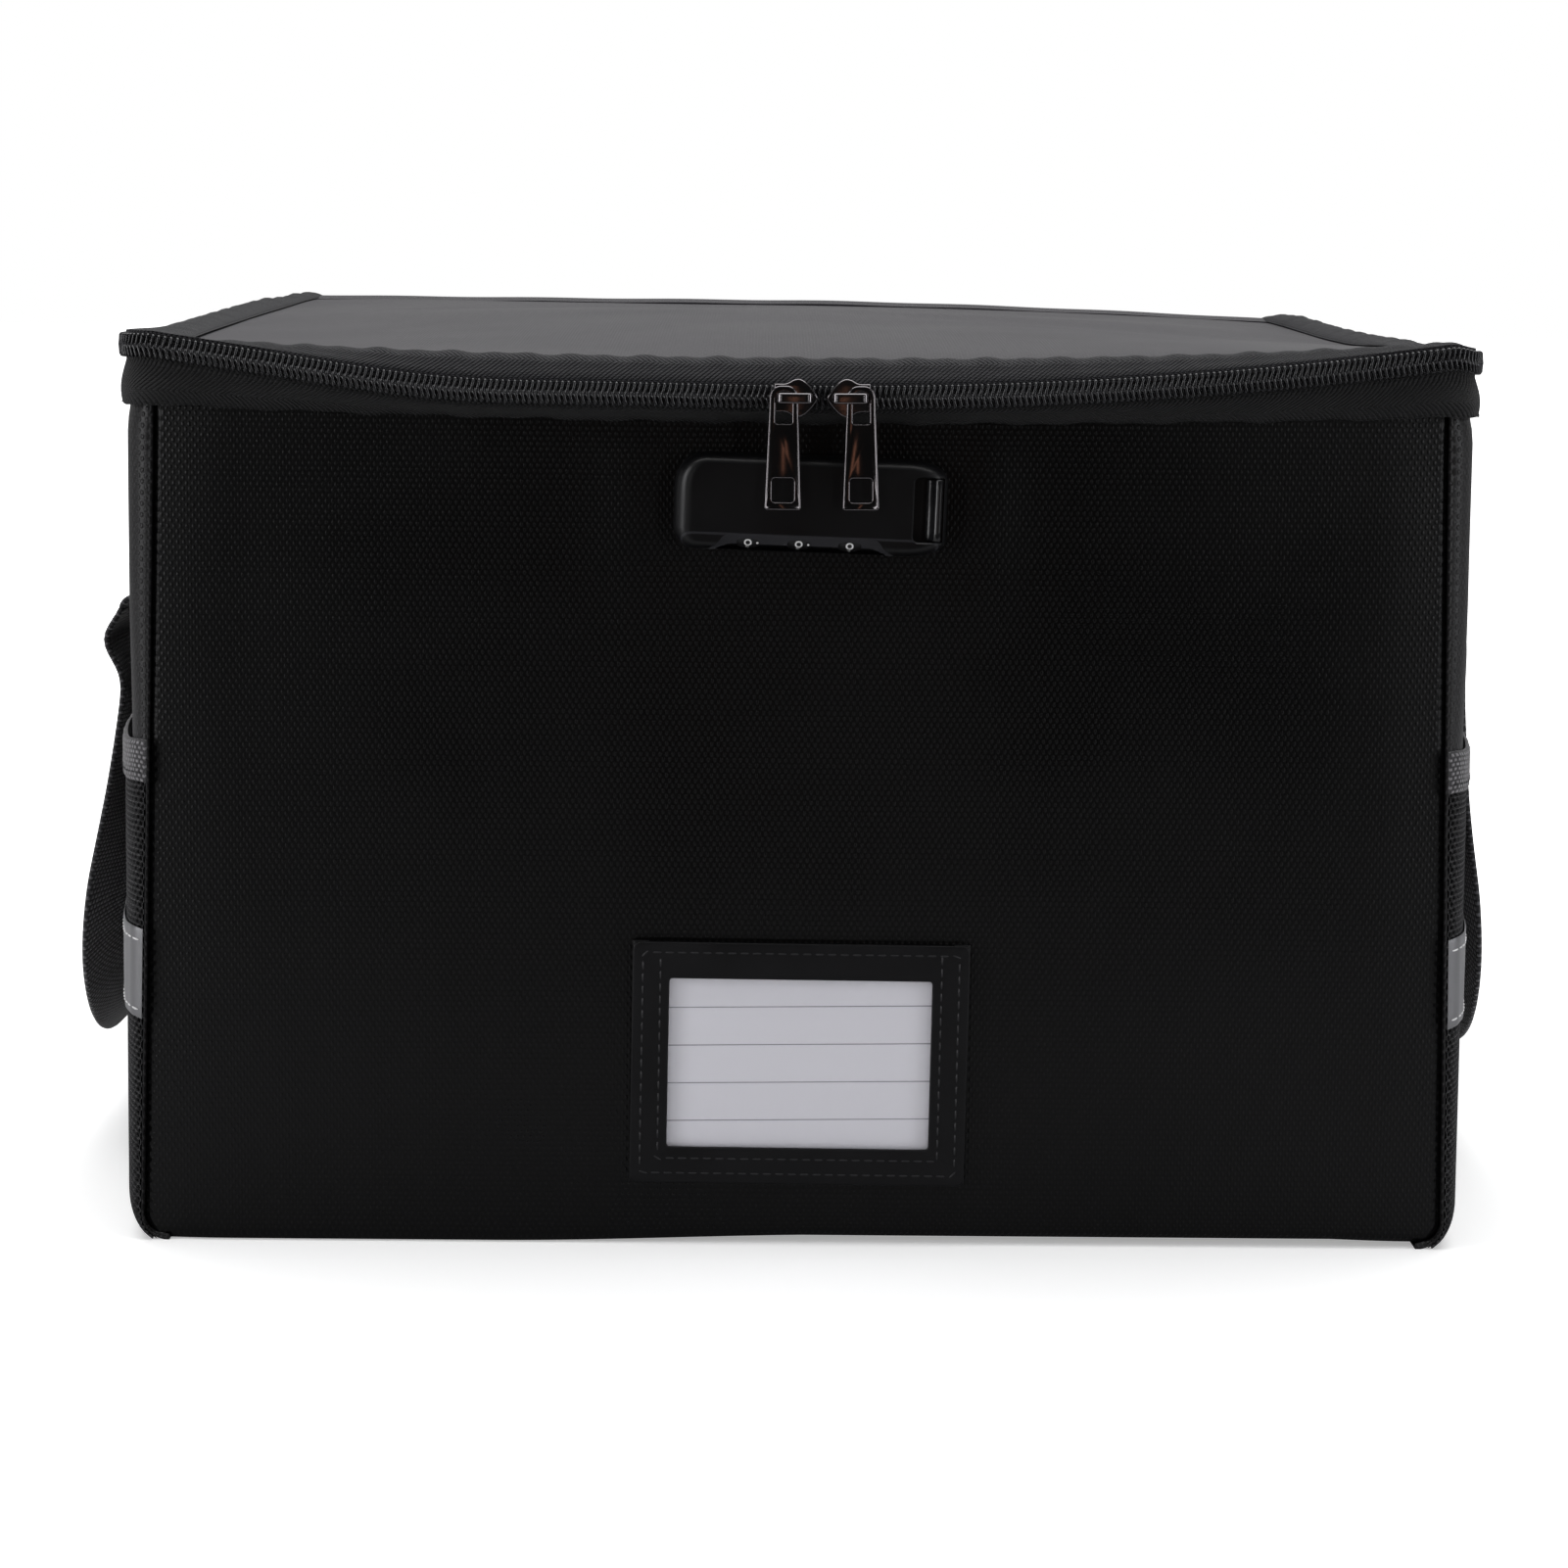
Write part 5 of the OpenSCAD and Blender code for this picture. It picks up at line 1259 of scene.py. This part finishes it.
def makePocket(side, right):
    makeMesh(side, right)
    # a near-black back layer behind the mesh: partly the mesh's back face, partly painted shade in its holes
    obj = pocketSheet(side + "MeshBack", np.linspace(-2, 143.6, 40), 88.6, 70, lambda Z, A: 0 * Z - 0.95, -1.15, "meshBackPaintedShade",
                      right)
    finishPiece(obj, "box_body", "mesh")
    low, high = pocket["bindLow"], pocket["bindHigh"]
    zs = [low, 143.3, 144, 146, 149, 152, 153.6, 154.5, high]
    obj = pocketSheet(side + "Binding", zs, 88.9, 94, lambda Z, A: 0.45 - 0.5 * nearEdge(Z - low, 0.6)
                      - 0.9 * nearEdge(high - Z, 1.6) ** 2 + 0.12 * np.sin(A * 60), -0.95, "binding", right)
    finishPiece(obj, "box_body", "binding", side + "_pocket_binding")
    low, high = pocket["stripLow"], pocket["stripHigh"]
    zs = [low, 75.2, 76, 79, 83, 88, 93, 97, 100, 100.8, high]
    obj = pocketSheet(side + "ReflectiveStrip", zs, 88.9, 94, lambda Z, A: 0.62 - 0.3 * nearEdge(Z - low, 0.4)
                      - 0.3 * nearEdge(high - Z, 0.4) + 0.1 * np.sin(A * 35 + 1), 0.25, "reflective", right)
    finishPiece(obj, "box_body", "reflective", side + "_reflective_strip")
    a = np.radians(np.linspace(-87.5, 87.5, 400))
    for part, slot, rows, out, length, pitch, material in (
            ("Strip", "reflective", (97.6, 77.4), 0.66, 2.9, 3.7, "whiteThread"),
            ("Binding", "binding", (145.6,), 0.5, 2.4, 3.0, "blackThread")):
        centres, alongs, outs = [], [], []
        for z in rows:
            P, N = sided(right, *pocketAt(0 * a + z, a, 0 * a + out))
            pos, d = alongPath(P, pitch)
            centres += list(pos)
            alongs += list(d)
            outs += list(rowsOfPoints(runLength(pos) + pitch / 2, runLength(P), N))
        obj = stitchRow(side + part + "Stitches", centres, alongs, outs, length, 0.27, material)
        finishPiece(obj, "box_body", slot)


for side, right in sidePairs:
    makePocket(side, right)
print("pockets")


# ---- handles: sewn ends that fold over, and a hanging loop ----
strap = {"w": 38, "t": 1.8, "legX": 213.4, "foldX": 209.55, "gap": 3.85, "foldZ": 182, "low": 27, "anchorX": 205.7,
         "anchorLow": 132, "halfSpan": 62, "bottomR": 49.6}


def strapSweep(name, P, across, rise, right):
    # flat strap along a centre line, its across direction given at each point
    along = unit(np.gradient(P, axis=0))
    across = unit(across - along * np.sum(across * along, -1, keepdims=True))
    through = np.cross(along, across)
    w, t = strap["w"] / 2, strap["t"] / 2
    face = [(x, t) for x in np.linspace(-w + 0.9, w - 0.9, 17)] + [(w - 0.25, t * 0.75), (w, 0), (w - 0.25, -t * 0.75)]
    x, y = np.array(face + [(-x, -y) for x, y in face]).T
    lift = rise[:, None] * np.cos(x / w * math.pi / 2)
    rings = P[:, None] + across[:, None] * x[:, None] + through[:, None] * (y + lift)[..., None]
    return sweptRings(name, sided(right, rings)[0], x, runLength(P)[:, None], "webbing", 55)


def makeHandle(side, right, splay, turn, wobble, hump):
    sx = 1 if right else -1
    half, foldZ, anchorX, humpW = strap["halfSpan"], strap["foldZ"], strap["anchorX"], 9
    low = strap["low"] + strap["w"] / 2 * math.cos(rad(turn)) + strap["t"]
    q = np.linspace(-1, 1, 181)
    off, near = smooth((1 - np.abs(q)) / 0.67), smooth(1 - np.abs(q) / 0.7)
    twist = np.radians(splay * off + (turn - splay) * near)
    part, leg = np.radians(90 * np.minimum(1, 2 * np.abs(q))), np.maximum(0, 2 * np.abs(q) - 1)
    P = xyz(strap["legX"] - 0.6 * off + strap["w"] / 2 * np.sin(twist) - 2.4 * near, np.sign(q) * half * np.sin(part),
            lerp(low + strap["bottomR"] * (1 - np.cos(part)), foldZ - 0.3, leg))
    along = unit(np.gradient(P, axis=0))
    inward = unit(np.cross(np.array([1.0, 0, 0]), along))
    across = -np.cross(inward, along) * np.sin(twist)[:, None] - inward * np.cos(twist)[:, None]
    P[:, 0] += hump * bell(P[:, 2], foldZ - 10, humpW) * (np.abs(q) > 0.5)
    obj = strapSweep(side + "HandleLoop", P, across, wobble * np.sin(q * 7.5 + 1) * off, right)
    finishPiece(obj, side + "_handle", "webbing", side + "_handle_loop")
    bulge = hump * bell(10, 0, humpW)
    for sy, end in ((-1, "Front"), (1, "Rear")):
        pts = [(anchorX, sy * half, z) for z in np.linspace(strap["anchorLow"], foldZ - 1, 26)]
        for a in np.linspace(0, math.pi, 21):
            c = math.cos(a)
            pts.append((strap["foldX"] - strap["gap"] * c + bulge * (0.5 - 0.5 * c) ** 2, sy * half,
                        foldZ + strap["gap"] * math.sin(a)))
        pts = np.array(pts)
        obj = strapSweep(side + "HandleEnd" + end, pts, np.array([0, 1.0, 0]), 0 * pts[:, 0], right)
        if sy < 0:
            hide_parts(side + "_handle_anchors", side + "_handle_folds")
        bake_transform(obj)
    # a crossed box of stitches on each sewn end
    y0, y1, z0, z1 = half - 16, half + 16, 135, 172
    box = [(y0, z0), (y1, z0), (y1, z1), (y0, z1), (y0, z0)]
    rows = [[(anchorX + strap["t"] / 2 + 0.02, sy * y, z) for y, z in row] for sy in (-1, 1)
            for row in (box, [(y0, z0), (y1, z1)], [(y1, z0), (y0, z1)])]
    centres, alongs = sided(right, *alongPaths(rows, 3.2, 0.6))
    outs = [np.array([sx * 1.0, 0, 0])] * len(centres)
    obj = stitchRow(side + "HandleStitches", centres, alongs, outs, 2.6, 0.24, "blackThread")
    finishPiece(obj, "box_body", "webbing")


makeHandle("left", False, 23, 40, 1.2, 6.7)
makeHandle("right", True, 11, 30, 0.8, 0.6)
print("handles")

for name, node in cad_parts.items():
    if name.endswith("_board"):
        paintNode(node, "board")
    elif name in ("back_lining", "bottom_lining"):
        paintNode(node, "lining")


# ---- floor, light and sky ----
def makeStage():
    scene = bpy.context.scene
    mesh = bpy.data.meshes.new("floor")
    mesh.from_pydata([(-9, -0.52, 0), (9, -0.52, 0), (9, 30, 0), (-9, 30, 0)], [], [(0, 1, 2, 3)])
    floor = bpy.data.objects.new("floor", mesh)
    scene.collection.objects.link(floor)
    # the camera sees a white ground, and glossy pieces a grey one
    s = Shader("floorPaint", (0.95, 0.95, 0.95), 1.0, 0.0)
    away = s.node("VectorMath", "Value", ("operation", "LENGTH"), Vector=s.place())
    seen, glossy = (s.node("LightPath", ray) for ray in ("Is Camera Ray", "Is Glossy Ray"))
    s.to(Emission_Color=(1, 1, 1), Emission_Strength=seen * s.ramp(away, 0.35, 1.0, 0.35, 1.3),
         Base_Color=s.mix(glossy, (0.95, 0.95, 0.95), (0.4, 0.4, 0.41)))
    mesh.materials.append(s.mat)
    for name, place, aim, size, power, tint in (
            ("overhead", (0, 0.35, 1.7), (0, 0.25, 0.0), (2.4, 1.8), 38, (1, 1, 1)),
            ("leftSide", (-1.5, -0.75, 0.5), (-0.1, -0.1, 0.2), (0.5, 1.2), 11, (0.98, 0.98, 1)),
            ("rightSide", (1.5, -0.75, 0.5), (0.1, -0.1, 0.2), (0.5, 1.2), 8, (0.96, 0.97, 1)),
            ("leftStrip", (-0.78, -1.55, 0.32), (0, -0.16, 0.2), (0.12, 0.8), 0.9, (1, 1, 1)),
            ("rightStrip", (0.78, -1.55, 0.32), (0, -0.16, 0.2), (0.12, 0.8), 1.0, (1, 1, 1)),
            ("warmCard", (0.0, -1.9, 0.12), (0, 0, 0.22), (0.06, 0.5), 0.07, (1, 0.45, 0.27))):
        data = bpy.data.lights.new(name, "AREA")
        data.shape = "RECTANGLE"
        data.size, data.size_y = size
        data.energy, data.color = power, tint
        obj = bpy.data.objects.new(name, data)
        obj.location = place
        obj.rotation_euler = (Vector(aim) - Vector(place)).to_track_quat("-Z", "Y").to_euler()
        scene.collection.objects.link(obj)
    world = bpy.data.worlds.new("sky")
    world.use_nodes = True
    scene.world = world
    w = Nodes(world.node_tree)
    x, y, z = w.split(w.node("TexCoord", "Generated"))
    sky = w.ramp(y, 0.15, 0.95, 0.02, 0.42) + w.ramp(z, 0.35, 0.95, 0.0, 0.4)
    seen = w.node("LightPath", "Is Camera Ray")
    back = w.tree.nodes["Background"].inputs
    w.plug(back["Strength"], w.numbered("Mix", ("data_type", "FLOAT"), 0, ((0, seen), (2, sky), (3, 1.0))))
    w.plug(back["Color"], (1, 1, 1))


makeStage()
bpy.context.scene.view_settings.view_transform = "Standard"
print("stage")
